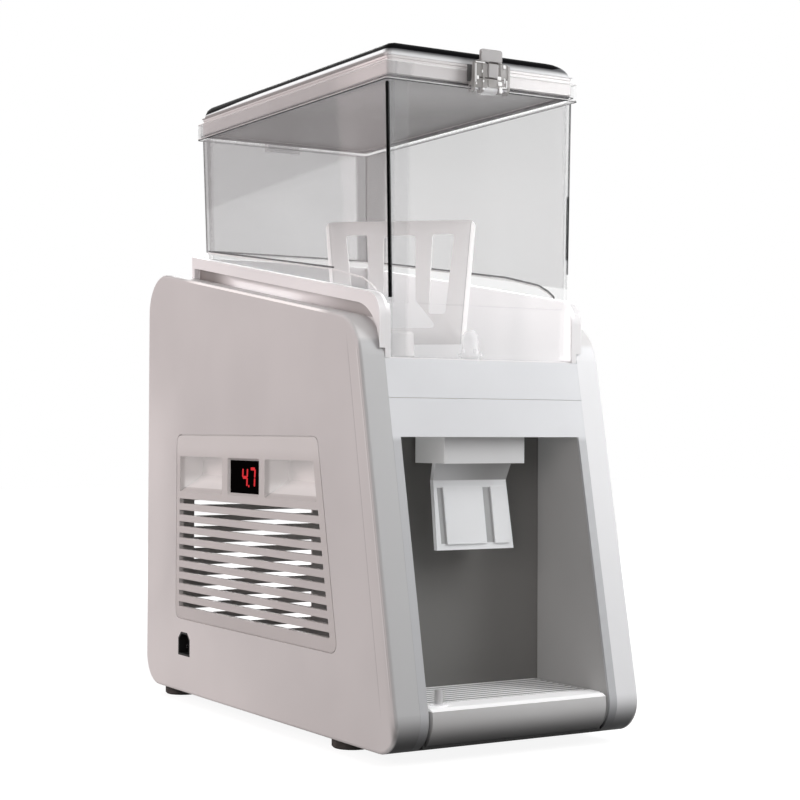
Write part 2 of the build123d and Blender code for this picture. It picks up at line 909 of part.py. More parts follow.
hub_low = tank_floor + spindle_flange_height + clearance
stirrer_direction = (cos(radians(stirrer_turn)), sin(radians(stirrer_turn)), 0)
stirrer_normal = (sin(radians(stirrer_turn)), -cos(radians(stirrer_turn)), 0)
stirrer_plane = Plane(origin=(0, at_depth(stirrer_depth), 0), x_dir=stirrer_direction, z_dir=stirrer_normal)
with BuildPart() as stirrer:
    with BuildSketch(stirrer_plane):
        with BuildLine():
            FilletPolyline(
                (-stirrer_leg_half, stirrer_leg_low),
                (-stirrer_top_half, stirrer_top),
                (stirrer_top_half, stirrer_top),
                (stirrer_leg_half, stirrer_leg_low),
                radius=stirrer_corner,
                close=True,
            )
        make_face()
        for side in (-1, 1):
            with BuildLine():
                FilletPolyline(
                    (side * window_low_edges[0], window_low),
                    (side * window_high_edges[0], window_high),
                    (side * window_high_edges[1], window_high),
                    (side * window_low_edges[1], window_low),
                    radius=window_corner,
                    close=True,
                )
            make_face(mode=Mode.SUBTRACT)
        with BuildLine():
            FilletPolyline(
                (-arch_low_half, stirrer_leg_low - arm_height),
                (-arch_low_half, arch_low),
                (-arch_half, arch_knee),
                (-arch_half, arch_top),
                (arch_half, arch_top),
                (arch_half, arch_knee),
                (arch_low_half, arch_low),
                (arch_low_half, stirrer_leg_low - arm_height),
                radius=[0, 0, window_corner, window_corner, window_corner, window_corner, 0, 0],
                close=True,
            )
        make_face(mode=Mode.SUBTRACT)
    extrude(amount=stirrer_plate / 2, both=True)
    with BuildSketch(Plane.XY.offset(stirrer_leg_low - arm_height)):
        with Locations((0, at_depth(stirrer_depth))):
            Rectangle(2 * (stirrer_leg_half - stirrer_corner), 2 * stirrer_plate, rotation=stirrer_turn)
    extrude(amount=2 * arm_height - stirrer_plate)
    extrude(plan_circle(hub_low, 0, stirrer_depth, hub_radius), amount=hub_height)
    bore = plan_circle(hub_low, 0, stirrer_depth, spindle_radius + running_fit)
    extrude(bore, amount=spindle_height - spindle_flange_height, mode=Mode.SUBTRACT)
save(stirrer.part, "stirrer")

with BuildPart() as lid_tray:
    extrude(plan_box(lid_low, lid_half, lid_front, lid_rear, lid_corner), amount=lid_band_top - lid_low)
    hollow_corner = lid_corner - lid_wall
    tray_hollow = plan_box(
        lid_low + lid_wall, lid_half - lid_wall, lid_front + lid_wall, lid_rear - lid_wall, hollow_corner
    )
    extrude(tray_hollow, amount=lid_band_top - lid_low - lid_wall, mode=Mode.SUBTRACT)
save(lid_tray.part, "lid_tray")

with BuildPart() as lid_top:
    extrude(plan_box(lid_band_top, lid_half, lid_front, lid_rear, lid_corner), amount=lid_top_height)
    fillet(lid_top.edges().group_by(Axis.Z)[-1], radius=lid_top_round)
    top_hollow = plan_box(
        lid_band_top, lid_half - lid_top_round, lid_front + lid_top_round, lid_rear - lid_top_round
    )
    extrude(top_hollow, amount=lid_top_height - lid_wall, mode=Mode.SUBTRACT)
save(lid_top.part, "lid_top")

with BuildPart() as lid_seal:
    seal_low = tank_top + clearance
    seal_front = lid_front + seal_inset
    seal_rear = lid_rear - seal_inset
    seal_half = lid_half - seal_inset
    extrude(plan_box(seal_low, seal_half, seal_front, seal_rear, lid_corner), amount=lid_low - seal_low)
    hole_corner = lid_corner - seal_width
    seal_hollow = plan_box(
        seal_low, seal_half - seal_width, seal_front + seal_width, seal_rear - seal_width, hole_corner
    )
    extrude(seal_hollow, amount=lid_low - seal_low, mode=Mode.SUBTRACT)
save(lid_seal.part, "lid_seal")

with BuildPart() as hinge_bracket:
    leaf_rear = rim_rear + hinge_leaf_thickness
    leaf_high = hinge_height - hinge_barrel_radius - clearance
    leaf = side_box(-hinge_half, rim_rear, leaf_rear, hinge_leaf_low, leaf_high)
    extrude(leaf, amount=2 * hinge_half)
    for x in (-hinge_half, knuckle_half + clearance):
        ear_width = hinge_half - knuckle_half - clearance
        extrude(side_circle(x, hinge_depth, hinge_height, hinge_barrel_radius), amount=ear_width)
        web_rear = hinge_depth + hinge_leaf_thickness
        web = side_box(x, rim_rear, web_rear, hinge_leaf_low, tank_top + upstand_height)
        extrude(web, amount=ear_width)
    bore = side_circle(-hinge_half, hinge_depth, hinge_height, hinge_pin_radius + pin_fit)
    extrude(bore, amount=2 * hinge_half, mode=Mode.SUBTRACT)
save(hinge_bracket.part, "hinge_bracket")

with BuildPart() as hinge_pin:
    extrude(side_circle(-hinge_half, hinge_depth, hinge_height, hinge_pin_radius), amount=2 * hinge_half)
save(hinge_pin.part, "hinge_pin")

with BuildPart() as lid_knuckle:
    barrel = side_circle(-knuckle_half, hinge_depth, hinge_height, hinge_barrel_radius)
    extrude(barrel, amount=2 * knuckle_half)
    bridge = side_box(-knuckle_half, lid_rear, hinge_depth, knuckle_low, knuckle_high)
    extrude(bridge, amount=2 * knuckle_half)
    bore = side_circle(-knuckle_half, hinge_depth, hinge_height, hinge_pin_radius + running_fit)
    extrude(bore, amount=2 * knuckle_half, mode=Mode.SUBTRACT)
save(lid_knuckle.part, "lid_knuckle")

with BuildPart() as latch_bracket:
    post = side_box(
        -latch_post_half, latch_pin_depth, rim_front,
        latch_pin_height - latch_boss_radius, latch_pin_height + latch_boss_radius,
    )
    extrude(post, amount=2 * latch_post_half)
    boss = side_circle(-latch_post_half, latch_pin_depth, latch_pin_height, latch_boss_radius)
    extrude(boss, amount=2 * latch_post_half)
    bore = side_circle(-latch_post_half, latch_pin_depth, latch_pin_height, latch_pin_radius + pin_fit)
    extrude(bore, amount=2 * latch_post_half, mode=Mode.SUBTRACT)
save(latch_bracket.part, "latch_bracket")

with BuildPart() as latch_pin:
    rod = side_circle(-latch_half, latch_pin_depth, latch_pin_height, latch_pin_radius)
    extrude(rod, amount=2 * latch_half)
save(latch_pin.part, "latch_pin")

with BuildPart() as latch_arm:
    hook_high = latch_hook_low + latch_hook_thickness
    plate_rear_face = latch_front + latch_plate
    plate = side_box(-latch_half, latch_front, plate_rear_face, latch_pin_height, hook_high)
    extrude(plate, amount=2 * latch_half)
    boss = side_circle(-latch_half, latch_pin_depth, latch_pin_height, latch_boss_radius)
    extrude(boss, amount=2 * latch_half)
    toe = side_box(
        -latch_half, latch_front, latch_pin_depth,
        latch_pin_height - latch_boss_radius, latch_pin_height + latch_boss_radius,
    )
    extrude(toe, amount=2 * latch_half)
    hook = side_box(-latch_tab_half, latch_front, latch_hook_depth, latch_hook_low, hook_high)
    extrude(hook, amount=2 * latch_tab_half)
    tab = side_box(-latch_tab_half, latch_front, plate_rear_face, hook_high, latch_tab_top)
    extrude(tab, amount=2 * latch_tab_half)
    gap_half = latch_post_half + clearance
    gap = side_box(
        -gap_half, latch_front - latch_plate, rim_front,
        latch_pin_height - 2 * latch_boss_radius, latch_pin_height + 2 * latch_boss_radius,
    )
    extrude(gap, amount=2 * gap_half, mode=Mode.SUBTRACT)
    bore = side_circle(-latch_half, latch_pin_depth, latch_pin_height, latch_pin_radius + running_fit)
    extrude(bore, amount=2 * latch_half, mode=Mode.SUBTRACT)
save(latch_arm.part, "latch_arm")

with BuildPart() as latch_catch:
    catch = side_box(-catch_half, catch_front, lid_front, catch_low, latch_hook_low - clearance)
    extrude(catch, amount=2 * catch_half)
    fillet(latch_catch.edges().filter_by(Axis.X).group_by(Axis.Y)[0].sort_by(Axis.Z)[:1], radius=catch_round)
save(latch_catch.part, "latch_catch")

with BuildPart() as dispensing_head:
    head_height = nook_ceiling - head_low
    extrude(plan_box(head_low, head_half, head_front, head_rear, head_corner), amount=head_height)
    hollow = plan_box(head_low, head_half - head_wall, head_front + head_wall, head_rear - head_wall)
    extrude(hollow, amount=head_height - head_wall, mode=Mode.SUBTRACT)
    for depth, radius in ((valve_depth, plunger_radius), (nozzle_depth, nozzle_radius)):
        hole = plan_circle(head_low, 0, depth, radius + clearance)
        extrude(hole, amount=head_height, mode=Mode.SUBTRACT)
    pin_half = head_half - head_wall / 2
    pin_hole = side_circle(-pin_half, lever_pivot_depth, lever_pivot_height, lever_pin_radius + pin_fit)
    extrude(pin_hole, amount=2 * pin_half, mode=Mode.SUBTRACT)
save(dispensing_head.part, "dispensing_head")

with BuildPart() as lever_pin:
    extrude(
        side_circle(fit_gap - pin_half, lever_pivot_depth, lever_pivot_height, lever_pin_radius),
        amount=2 * (pin_half - fit_gap),
    )
save(lever_pin.part, "lever_pin")


def lever_outline():
    """Side outline of the lever, from its pivot down the neck and the leaning paddle."""
    rise = lever_pivot_height - head_low
    lean = (knee_depth - neck_depth) / (head_low - knee_height)
    top_front = neck_depth - lean * rise
    points = [
        (at_depth(paddle_depth), paddle_low),
        (at_depth(knee_depth), knee_height),
        (at_depth(top_front), lever_pivot_height),
        (at_depth(top_front + lever_thickness), lever_pivot_height),
        (at_depth(knee_depth + lever_thickness), knee_height),
        (at_depth(paddle_depth + lever_thickness), paddle_low),
    ]
    return side_outline(0, points)


def lever_width_outline():
    """Front view of the lever, widest at the paddle's foot and at the head."""
    with BuildSketch(Plane.XZ) as outline:
        with BuildLine():
            FilletPolyline(
                (-paddle_half, paddle_low),
                (-knee_half, knee_height),
                (-neck_half, head_low),
                (-neck_half, lever_pivot_height + lever_boss_radius),
                (neck_half, lever_pivot_height + lever_boss_radius),
                (neck_half, head_low),
                (knee_half, knee_height),
                (paddle_half, paddle_low),
                radius=0,
                close=True,
            )
        make_face()
    return outline.sketch


paddle_lean = (knee_depth - paddle_depth) / (knee_height - paddle_low)
with BuildPart() as lever:
    extrude(lever_outline(), amount=paddle_half, both=True)
    boss = side_circle(0, lever_pivot_depth, lever_pivot_height, lever_boss_radius)
    extrude(boss, amount=neck_half, both=True)
    extrude(lever_width_outline(), amount=half_depth, both=True, mode=Mode.INTERSECT)
    for left, right in pad_edges:
        low_depth = paddle_depth + paddle_lean * (pad_low - paddle_low)
        high_depth = paddle_depth + paddle_lean * (pad_high - paddle_low)
        pad = [
            (at_depth(low_depth - pad_rise), pad_low),
            (at_depth(high_depth - pad_rise), pad_high),
            (at_depth(high_depth + pad_rise), pad_high),
            (at_depth(low_depth + pad_rise), pad_low),
        ]
        extrude(side_outline(left, pad), amount=right - left)
    tongue_top = lever_pivot_height - lever_boss_radius
    tongue = side_box(
        -tongue_half, lever_pivot_depth, valve_depth + tongue_reach, tongue_top - tongue_thickness, tongue_top
    )
    extrude(tongue, amount=2 * tongue_half)
    bore = side_circle(0, lever_pivot_depth, lever_pivot_height, lever_pin_radius + running_fit)
    extrude(bore, amount=neck_half, both=True, mode=Mode.SUBTRACT)
save(lever.part, "lever")

with BuildPart() as valve_plunger:
    tip = tongue_top + clearance
    with BuildSketch(dome_plane):
        with BuildLine():
            Polyline(
                (0, tip),
                (plunger_tip_radius, tip),
                (plunger_radius, tip + plunger_tip_height),
                (plunger_radius, plunger_head_low),
                (plunger_head_radius, plunger_head_low),
                (plunger_head_radius, plunger_top),
                (0, plunger_top),
                close=True,
            )
        make_face()
    revolve(axis=dome_axis)
save(valve_plunger.part, "valve_plunger")

chamber_low = nook_ceiling + liner_wall
with BuildPart() as drop_tube:
    socket_bore = spout_radius + socket_gap
    socket_radius = socket_bore + socket_wall
    extrude(plan_circle(chamber_low, 0, valve_depth, socket_radius), amount=socket_top - chamber_low)
    bridge_half = nozzle_radius + socket_wall
    chamber_height = chamber_top - chamber_low
    extrude(plan_circle(chamber_low, 0, nozzle_depth, bridge_half), amount=chamber_height)
    extrude(plan_box(chamber_low, bridge_half, valve_depth, nozzle_depth), amount=chamber_height)
    extrude(plan_circle(nozzle_low, 0, nozzle_depth, nozzle_radius), amount=chamber_low - nozzle_low)
    hollow_low = chamber_low + socket_wall
    socket_hollow = plan_circle(hollow_low, 0, valve_depth, socket_bore)
    extrude(socket_hollow, amount=socket_top - hollow_low, mode=Mode.SUBTRACT)
    bridge = plan_box(hollow_low, nozzle_bore, valve_depth, nozzle_depth)
    extrude(bridge, amount=chamber_top - socket_wall - hollow_low, mode=Mode.SUBTRACT)
    nozzle = plan_circle(nozzle_low, 0, nozzle_depth, nozzle_bore)
    extrude(nozzle, amount=chamber_top - socket_wall - nozzle_low, mode=Mode.SUBTRACT)
    guide = plan_circle(chamber_low, 0, valve_depth, plunger_radius + running_fit)
    extrude(guide, amount=socket_wall, mode=Mode.SUBTRACT)
save(drop_tube.part, "drop_tube")

# The tray's front bar carries on the body's front face; the grille lies on a ledge behind its deck.
tray_low = floor_top + clearance
tray_rear = nook_back - tray_rear_gap
deck_low = tray_top - grille_thickness
ledge_top = deck_low - clearance
chamfer_low = tray_top - bar_chamfer_height
bar_points = [
    (ahead, tray_low),
    (ahead, chamfer_low),
    (front_y(chamfer_low), chamfer_low),
    (front_y(chamfer_low) + bar_chamfer_depth, tray_top),
    (at_depth(bar_depth), tray_top),
    (at_depth(bar_depth), tray_low),
]
with BuildPart() as drip_tray:
    extrude(side_profile(0), amount=bar_half, both=True)
    extrude(side_outline(0, bar_points), amount=bar_half, both=True, mode=Mode.INTERSECT)
    extrude(side_box(0, bar_depth, tray_rear, tray_low, tray_top), amount=tray_half, both=True)
    with BuildPart(mode=Mode.PRIVATE) as bar_hollow:
        inner_half = bar_half - bar_wall
        extrude(side_profile(0, bar_wall), amount=inner_half, both=True)
        hollow = side_box(0, 0, bar_depth + bar_wall, tray_low + tray_floor, ledge_top)
        extrude(hollow, amount=inner_half, both=True, mode=Mode.INTERSECT)
    add(bar_hollow.part, mode=Mode.SUBTRACT)
    basin = side_box(0, bar_depth + bar_wall, tray_rear - tray_side, tray_low + tray_floor, ledge_top)
    extrude(basin, amount=tray_half - tray_side, both=True, mode=Mode.SUBTRACT)
    seat = side_box(0, deck_rear, tray_rear - tray_lip, ledge_top, tray_top)
    extrude(seat, amount=tray_half - tray_lip, both=True, mode=Mode.SUBTRACT)
    post = plan_circle(tray_low, float_x, float_depth, float_post_radius)
    extrude(post, amount=tray_floor + float_disc_lift - clearance)
    pin_hole = plan_circle(ledge_top, float_x, float_depth, float_radius + clearance)
    extrude(pin_hole, amount=tray_top - ledge_top, mode=Mode.SUBTRACT)
save(drip_tray.part, "drip_tray")

with BuildPart() as drip_grille:
    grille_half = tray_half - tray_lip - clearance
    grille_front = deck_rear + clearance
    grille_rear = tray_rear - tray_lip - clearance
    extrude(plan_box(deck_low, grille_half, grille_front, grille_rear), amount=grille_thickness)
    pitch = (grille_rear - grille_front - grille_margin) / grille_slot_count
    with BuildSketch(Plane.XY.offset(deck_low)):
        with Locations((0, at_depth((grille_front + grille_rear) / 2))):
            with GridLocations(1, pitch, 1, grille_slot_count):
                Rectangle(2 * (grille_half - grille_margin), grille_slot)
    extrude(amount=grille_thickness, mode=Mode.SUBTRACT)
save(drip_grille.part, "drip_grille")

with BuildPart() as float_collar:
    extrude(plan_circle(tray_top, float_x, float_depth, float_collar_radius), amount=float_collar_height)
    bore = plan_circle(tray_top, float_x, float_depth, float_radius + clearance)
    extrude(bore, amount=float_collar_height, mode=Mode.SUBTRACT)
save(float_collar.part, "float_collar")

with BuildPart() as float_pin:
    float_low = tray_low + tray_floor + float_disc_lift
    extrude(plan_circle(float_low, float_x, float_depth, float_disc_radius), amount=float_disc_height)
    extrude(plan_circle(float_low, float_x, float_depth, float_radius), amount=float_top - float_low)
    chamfer(float_pin.edges().group_by(Axis.Z)[-1], length=float_chamfer)
save(float_pin.part, "float_pin")

plate_low = bed_low - plate_thickness
with BuildPart() as cold_plate:
    extrude(plan_box(plate_low, plate_half, plate_front, plate_rear, inner_corner), amount=plate_thickness)
save(cold_plate.part, "cold_plate")

tube_z = plate_low - tube_contact - tube_radius
tube_pitch = (plate_rear - plate_front - 4 * tube_radius) / (tube_runs - 1)
tube_points = []
for run in range(tube_runs):
    y = at_depth(plate_front + 2 * tube_radius + tube_pitch * run)
    side = -1 if run % 2 == 0 else 1
    tube_points += [(side * tube_half, y, tube_z), (-side * tube_half, y, tube_z)]
with BuildPart() as cooling_tube:
    with BuildLine() as tube_path:
        FilletPolyline(*tube_points, radius=tube_pitch / 2 - tube_bend_gap)
    with BuildSketch(Plane(origin=tube_path.line @ 0, z_dir=tube_path.line % 0)):
        Circle(tube_radius)
    sweep()
save(cooling_tube.part, "cooling_tube")

foam_top = tube_z - tube_radius - tube_contact
with BuildPart() as foam_slab:
    slab = plan_box(foam_top - foam_thickness, foam_half, foam_front, plate_rear, inner_corner)
    extrude(slab, amount=foam_thickness)
    hole = plan_circle(foam_top - foam_thickness, 0, stirrer_depth, drive_radius + drive_gap)
    extrude(hole, amount=foam_thickness, mode=Mode.SUBTRACT)
save(foam_slab.part, "foam_slab")

with BuildPart() as stirrer_motor:
    extrude(plan_circle(bed_low - drive_height, 0, stirrer_depth, drive_radius), amount=drive_height)
    fillet(stirrer_motor.edges().group_by(Axis.Z)[0], radius=drive_round)
save(stirrer_motor.part, "stirrer_motor")

bracket_top = floor_top + bracket_foot_height + bracket_thickness
with BuildPart() as compressor_bracket:
    with BuildSketch(Plane.XY.offset(bracket_top - bracket_thickness)):
        with Locations((compressor_x, at_depth(compressor_depth))):
            RectangleRounded(bracket_width, bracket_length, bracket_foot_radius)
    extrude(amount=bracket_thickness)
    with BuildSketch(Plane.XY.offset(floor_top)):
        with Locations((compressor_x, at_depth(compressor_depth))):
            spread = 2 * bracket_foot_radius
            with GridLocations(bracket_width - spread, bracket_length - spread, 2, 2):
                Circle(bracket_foot_radius)
    extrude(amount=bracket_foot_height)
save(compressor_bracket.part, "compressor_bracket")

with BuildPart() as compressor:
    can = plan_circle(bracket_top, compressor_x, compressor_depth, compressor_radius)
    extrude(can, amount=compressor_height)
    fillet(compressor.edges(), radius=compressor_round)
save(compressor.part, "compressor")

fan_height = (floor_top + shroud_top) / 2
fan_depth = (shroud_front + shroud_rear) / 2
with BuildPart() as fan_shroud:
    board = side_box(shroud_x, shroud_front, shroud_rear, floor_top, shroud_top, inner_corner)
    extrude(board, amount=shroud_thickness)
    bore = side_circle(shroud_x, fan_depth, fan_height, shroud_bore)
    extrude(bore, amount=shroud_thickness, mode=Mode.SUBTRACT)
save(fan_shroud.part, "fan_shroud")

condenser_x = shroud_x + shroud_thickness
with BuildPart() as condenser:
    extrude(
        side_box(
            condenser_x, shroud_front + condenser_margin, shroud_rear - condenser_margin,
            floor_top, shroud_top - condenser_margin,
        ),
        amount=condenser_thickness,
    )
    with BuildSketch(Plane.YZ.offset(condenser_x + condenser_thickness - fin_groove_depth)):
        with Locations((at_depth(fan_depth), fan_height)):
            fin_pitch = (shroud_rear - shroud_front - 2 * condenser_margin) / fin_count
            with GridLocations(fin_pitch, 1, fin_count - 1, 1):
                Rectangle(fin_groove, shroud_top - floor_top - 4 * condenser_margin)
    extrude(amount=fin_groove_depth, mode=Mode.SUBTRACT)
save(condenser.part, "condenser")

with BuildPart() as fan_motor:
    motor_x = shroud_x - fan_motor_length
    extrude(side_circle(motor_x, fan_depth, fan_height, fan_motor_radius), amount=fan_motor_length)
    strut_x = shroud_x - strut_thickness
    reach = shroud_bore + condenser_margin
    strut_half = strut_width / 2
    upright = side_box(
        strut_x, fan_depth - strut_half, fan_depth + strut_half, fan_height - reach, fan_height + reach
    )
    extrude(upright, amount=strut_thickness)
    level = side_box(
        strut_x, fan_depth - reach, fan_depth + reach, fan_height - strut_half, fan_height + strut_half
    )
    extrude(level, amount=strut_thickness)
    shaft = side_circle(shroud_x, fan_depth, fan_height, fan_shaft_radius)
    extrude(shaft, amount=fan_hub_length)
save(fan_motor.part, "fan_motor")

hub_x = shroud_x + fan_hub_gap
fan_axis = Axis((0, at_depth(fan_depth), fan_height), (1, 0, 0))
blade_reach = (fan_hub_radius - fan_root_sink + fan_radius) / 2
blade_place = Location(
    (hub_x + fan_hub_length / 2, at_depth(fan_depth), fan_height + blade_reach), (0, 0, fan_blade_pitch)
)
blade = blade_place * Box(fan_blade_chord, fan_blade_thickness, 2 * (fan_radius - blade_reach))
with BuildPart() as fan_blades:
    extrude(side_circle(hub_x, fan_depth, fan_height, fan_hub_radius), amount=fan_hub_length)
    for number in range(fan_blade_count):
        add(blade.rotate(fan_axis, 360 * number / fan_blade_count))
    bore = side_circle(hub_x, fan_depth, fan_height, fan_shaft_radius + running_fit)
    extrude(bore, amount=fan_hub_length, mode=Mode.SUBTRACT)
save(fan_blades.part, "fan_blades")

board_depth = nook_back + liner_wall + board_standoff
with BuildPart() as control_board:
    with BuildSketch(Plane.XZ.offset(-at_depth(board_depth + board_thickness))):
        with Locations((0, (board_low + board_high) / 2)):
            Rectangle(2 * board_half, board_high - board_low)
    extrude(amount=board_thickness)
    with BuildSketch(Plane.XZ.offset(-at_depth(board_depth))):
        with Locations((0, (board_low + board_high) / 2)):
            post_x = 2 * (board_half - board_post_inset)
            post_z = board_high - board_low - 2 * board_post_inset
            with GridLocations(post_x, post_z, 2, 2):
                Circle(board_post_radius)
    extrude(amount=board_standoff)
save(control_board.part, "control_board")
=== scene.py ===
from math import cos, pi, radians, sin, sqrt, tan

import bmesh
import bpy
from mathutils import Matrix, Vector


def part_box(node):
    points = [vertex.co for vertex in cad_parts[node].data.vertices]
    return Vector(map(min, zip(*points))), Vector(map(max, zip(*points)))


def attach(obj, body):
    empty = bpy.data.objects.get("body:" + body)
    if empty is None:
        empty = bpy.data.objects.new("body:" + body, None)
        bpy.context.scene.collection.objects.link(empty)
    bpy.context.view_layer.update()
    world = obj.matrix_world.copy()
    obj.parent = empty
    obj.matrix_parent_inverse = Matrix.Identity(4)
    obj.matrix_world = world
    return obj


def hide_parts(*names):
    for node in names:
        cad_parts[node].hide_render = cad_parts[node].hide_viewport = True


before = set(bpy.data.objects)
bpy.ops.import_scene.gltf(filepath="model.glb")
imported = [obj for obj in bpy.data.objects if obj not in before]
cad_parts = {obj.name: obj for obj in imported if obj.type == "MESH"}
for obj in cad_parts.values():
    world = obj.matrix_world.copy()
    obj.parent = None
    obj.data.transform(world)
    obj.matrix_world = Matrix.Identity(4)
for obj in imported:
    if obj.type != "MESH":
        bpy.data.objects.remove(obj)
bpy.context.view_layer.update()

bl_info = {
    "name": "Cold drink dispenser",
    "version": (1, 0, 0),
    "blender": (4, 5, 0),
    "location": "View3D > Sidebar > Dispenser",
    "description": "Finishes and fine pieces for a refrigerated countertop drink dispenser",
    "category": "Object",
}

MM = 0.001
FRONT_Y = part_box("left_side_cover")[0].y
REAR_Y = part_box("left_side_cover")[1].y
SIDE_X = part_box("right_side_cover")[1].x

# The front leans back from a round foot: angles in degrees, lengths in millimetres
FRONT_LEAN = 11.4
FRONT_SLOPE = tan(radians(FRONT_LEAN))
FOOT_ROUND = 28.0
UNDERSIDE = 9.5
FOOT_DEPTH = FOOT_ROUND * (1 - 1 / tan(radians(45 - FRONT_LEAN / 2))) - FRONT_SLOPE * UNDERSIDE
FRONT_FOOT = FRONT_Y + FOOT_DEPTH * MM

# Planes that slope towards the rear: a depth and a height in millimetres, and how steeply they climb
COVER_TOP = (65.65, 365.9, 0.1623)
TANK_LEDGE = (90.0, 402.0, 0.151)
# The edge of a wedge of painted shade on the tank's left wall
SHADE_WEDGE_EDGE = (397.0, 497.0, -0.0507)

# The paddle's front face: depth and height of its low end in millimetres, and its lean
PADDLE_FACE = (70.5, 169.0, 0.1664)

# The stirrer's blade in millimetres, and how far it is turned
STIRRER_TURN = radians(-41.16)
STIRRER_DEPTH = 200.4
BLADE_LOW, BLADE_TOP = 352.0, 467.8
BLADE_LOW_HALF, BLADE_TOP_HALF = 61.8, 71.6
BLADE_FLARE = 0.0846

# Sockets of a Mix node that mixes colours
MIX_FACTOR, MIX_FIRST, MIX_SECOND, MIX_RESULT = 0, 6, 7, 2


def depth_y(depth):
    """Y in metres of a point so many millimetres behind the front of the body."""
    return FRONT_Y + depth * MM


def paint(red, green, blue):
    """Linear colour from the 0 to 255 values that a paint chip shows."""
    linear = []
    for value in (red, green, blue):
        part = value / 255
        linear.append(part / 12.92 if part <= 0.04045 else ((part + 0.055) / 1.055) ** 2.4)
    return (*linear, 1.0)


def grey(level):
    """A linear grey."""
    return (level, level, level, 1.0)


BLACK = grey(0.0)
WHITE = grey(1.0)


def shade(colour, factor):
    """A colour made lighter or darker."""
    return (colour[0] * factor, colour[1] * factor, colour[2] * factor, 1.0)


class Value:
    """A socket that Python's operators work on; each operator adds its Math node."""

    def __init__(self, nodes, socket):
        self.nodes = nodes
        self.socket = socket

    def maths(self, operation, *values):
        return self.nodes.node("ShaderNodeMath", {"operation": operation}, dict(enumerate(values)))

    def __add__(self, other):
        return self.maths("ADD", self, other)

    def __radd__(self, other):
        return self.maths("ADD", other, self)

    def __sub__(self, other):
        return self.maths("SUBTRACT", self, other)

    def __rsub__(self, other):
        return self.maths("SUBTRACT", other, self)

    def __mul__(self, other):
        return self.maths("MULTIPLY", self, other)

    def __rmul__(self, other):
        return self.maths("MULTIPLY", other, self)

    def __pow__(self, other):
        return self.maths("POWER", self, other)

    def size(self):
        return self.maths("ABSOLUTE", self)

    def most(self, other):
        return self.maths("MAXIMUM", self, other)

    def rise(self, low, high):
        """0 below low, 1 above high and smooth between."""
        inputs = {"Value": self, "From Min": low, "From Max": high}
        return self.nodes.node("ShaderNodeMapRange", {"interpolation_type": "SMOOTHSTEP"}, inputs)

    def fall(self, low, high):
        """1 below low, 0 above high and smooth between."""
        return 1 - self.rise(low, high)

    def between(self, start, full, fading, end):
        """1 from full to fading, 0 before start and after end, and smooth between."""
        return self.rise(start, full) * self.fall(fading, end)

    def near(self, place, full, end):
        """1 within one distance of a place, 0 beyond another and smooth between."""
        return (self - place).size().fall(full, end)

    def behind(self, near, far):
        """For a Y value: 0 in front of one depth in millimetres, 1 behind the other."""
        return self.rise(depth_y(near), depth_y(far))

    def before(self, near, far):
        """For a Y value: 1 in front of one depth in millimetres, 0 behind the other."""
        return self.fall(depth_y(near), depth_y(far))


class Nodes:
    """A node tree and the one way to add nodes to it."""

    def __init__(self, tree):
        self.tree = tree

    def feed(self, socket, value):
        if isinstance(value, Value):
            self.tree.links.new(value.socket, socket)
        else:
            socket.default_value = value

    def node(self, kind, settings=None, inputs=None, output=0):
        """Add a node, its settings first and then the values or links of its inputs, and give one output."""
        made = self.tree.nodes.new(kind)
        for key, value in (settings or {}).items():
            setattr(made, key, value)
        for key, value in (inputs or {}).items():
            self.feed(made.inputs[key], value)
        return Value(self, made.outputs[output])

    def end(self, kind, value):
        """Add an output node for a value."""
        self.feed(self.tree.nodes.new(kind).inputs[0], value)

    def rays(self, kind):
        """1 for light rays of one kind."""
        return self.node("ShaderNodeLightPath", output=f"Is {kind} Ray")

    def background_rays(self):
        """1 for rays that come straight from the camera, a glossy surface or clear plastic."""
        return self.rays("Camera").most(self.rays("Glossy")).most(self.rays("Transmission"))


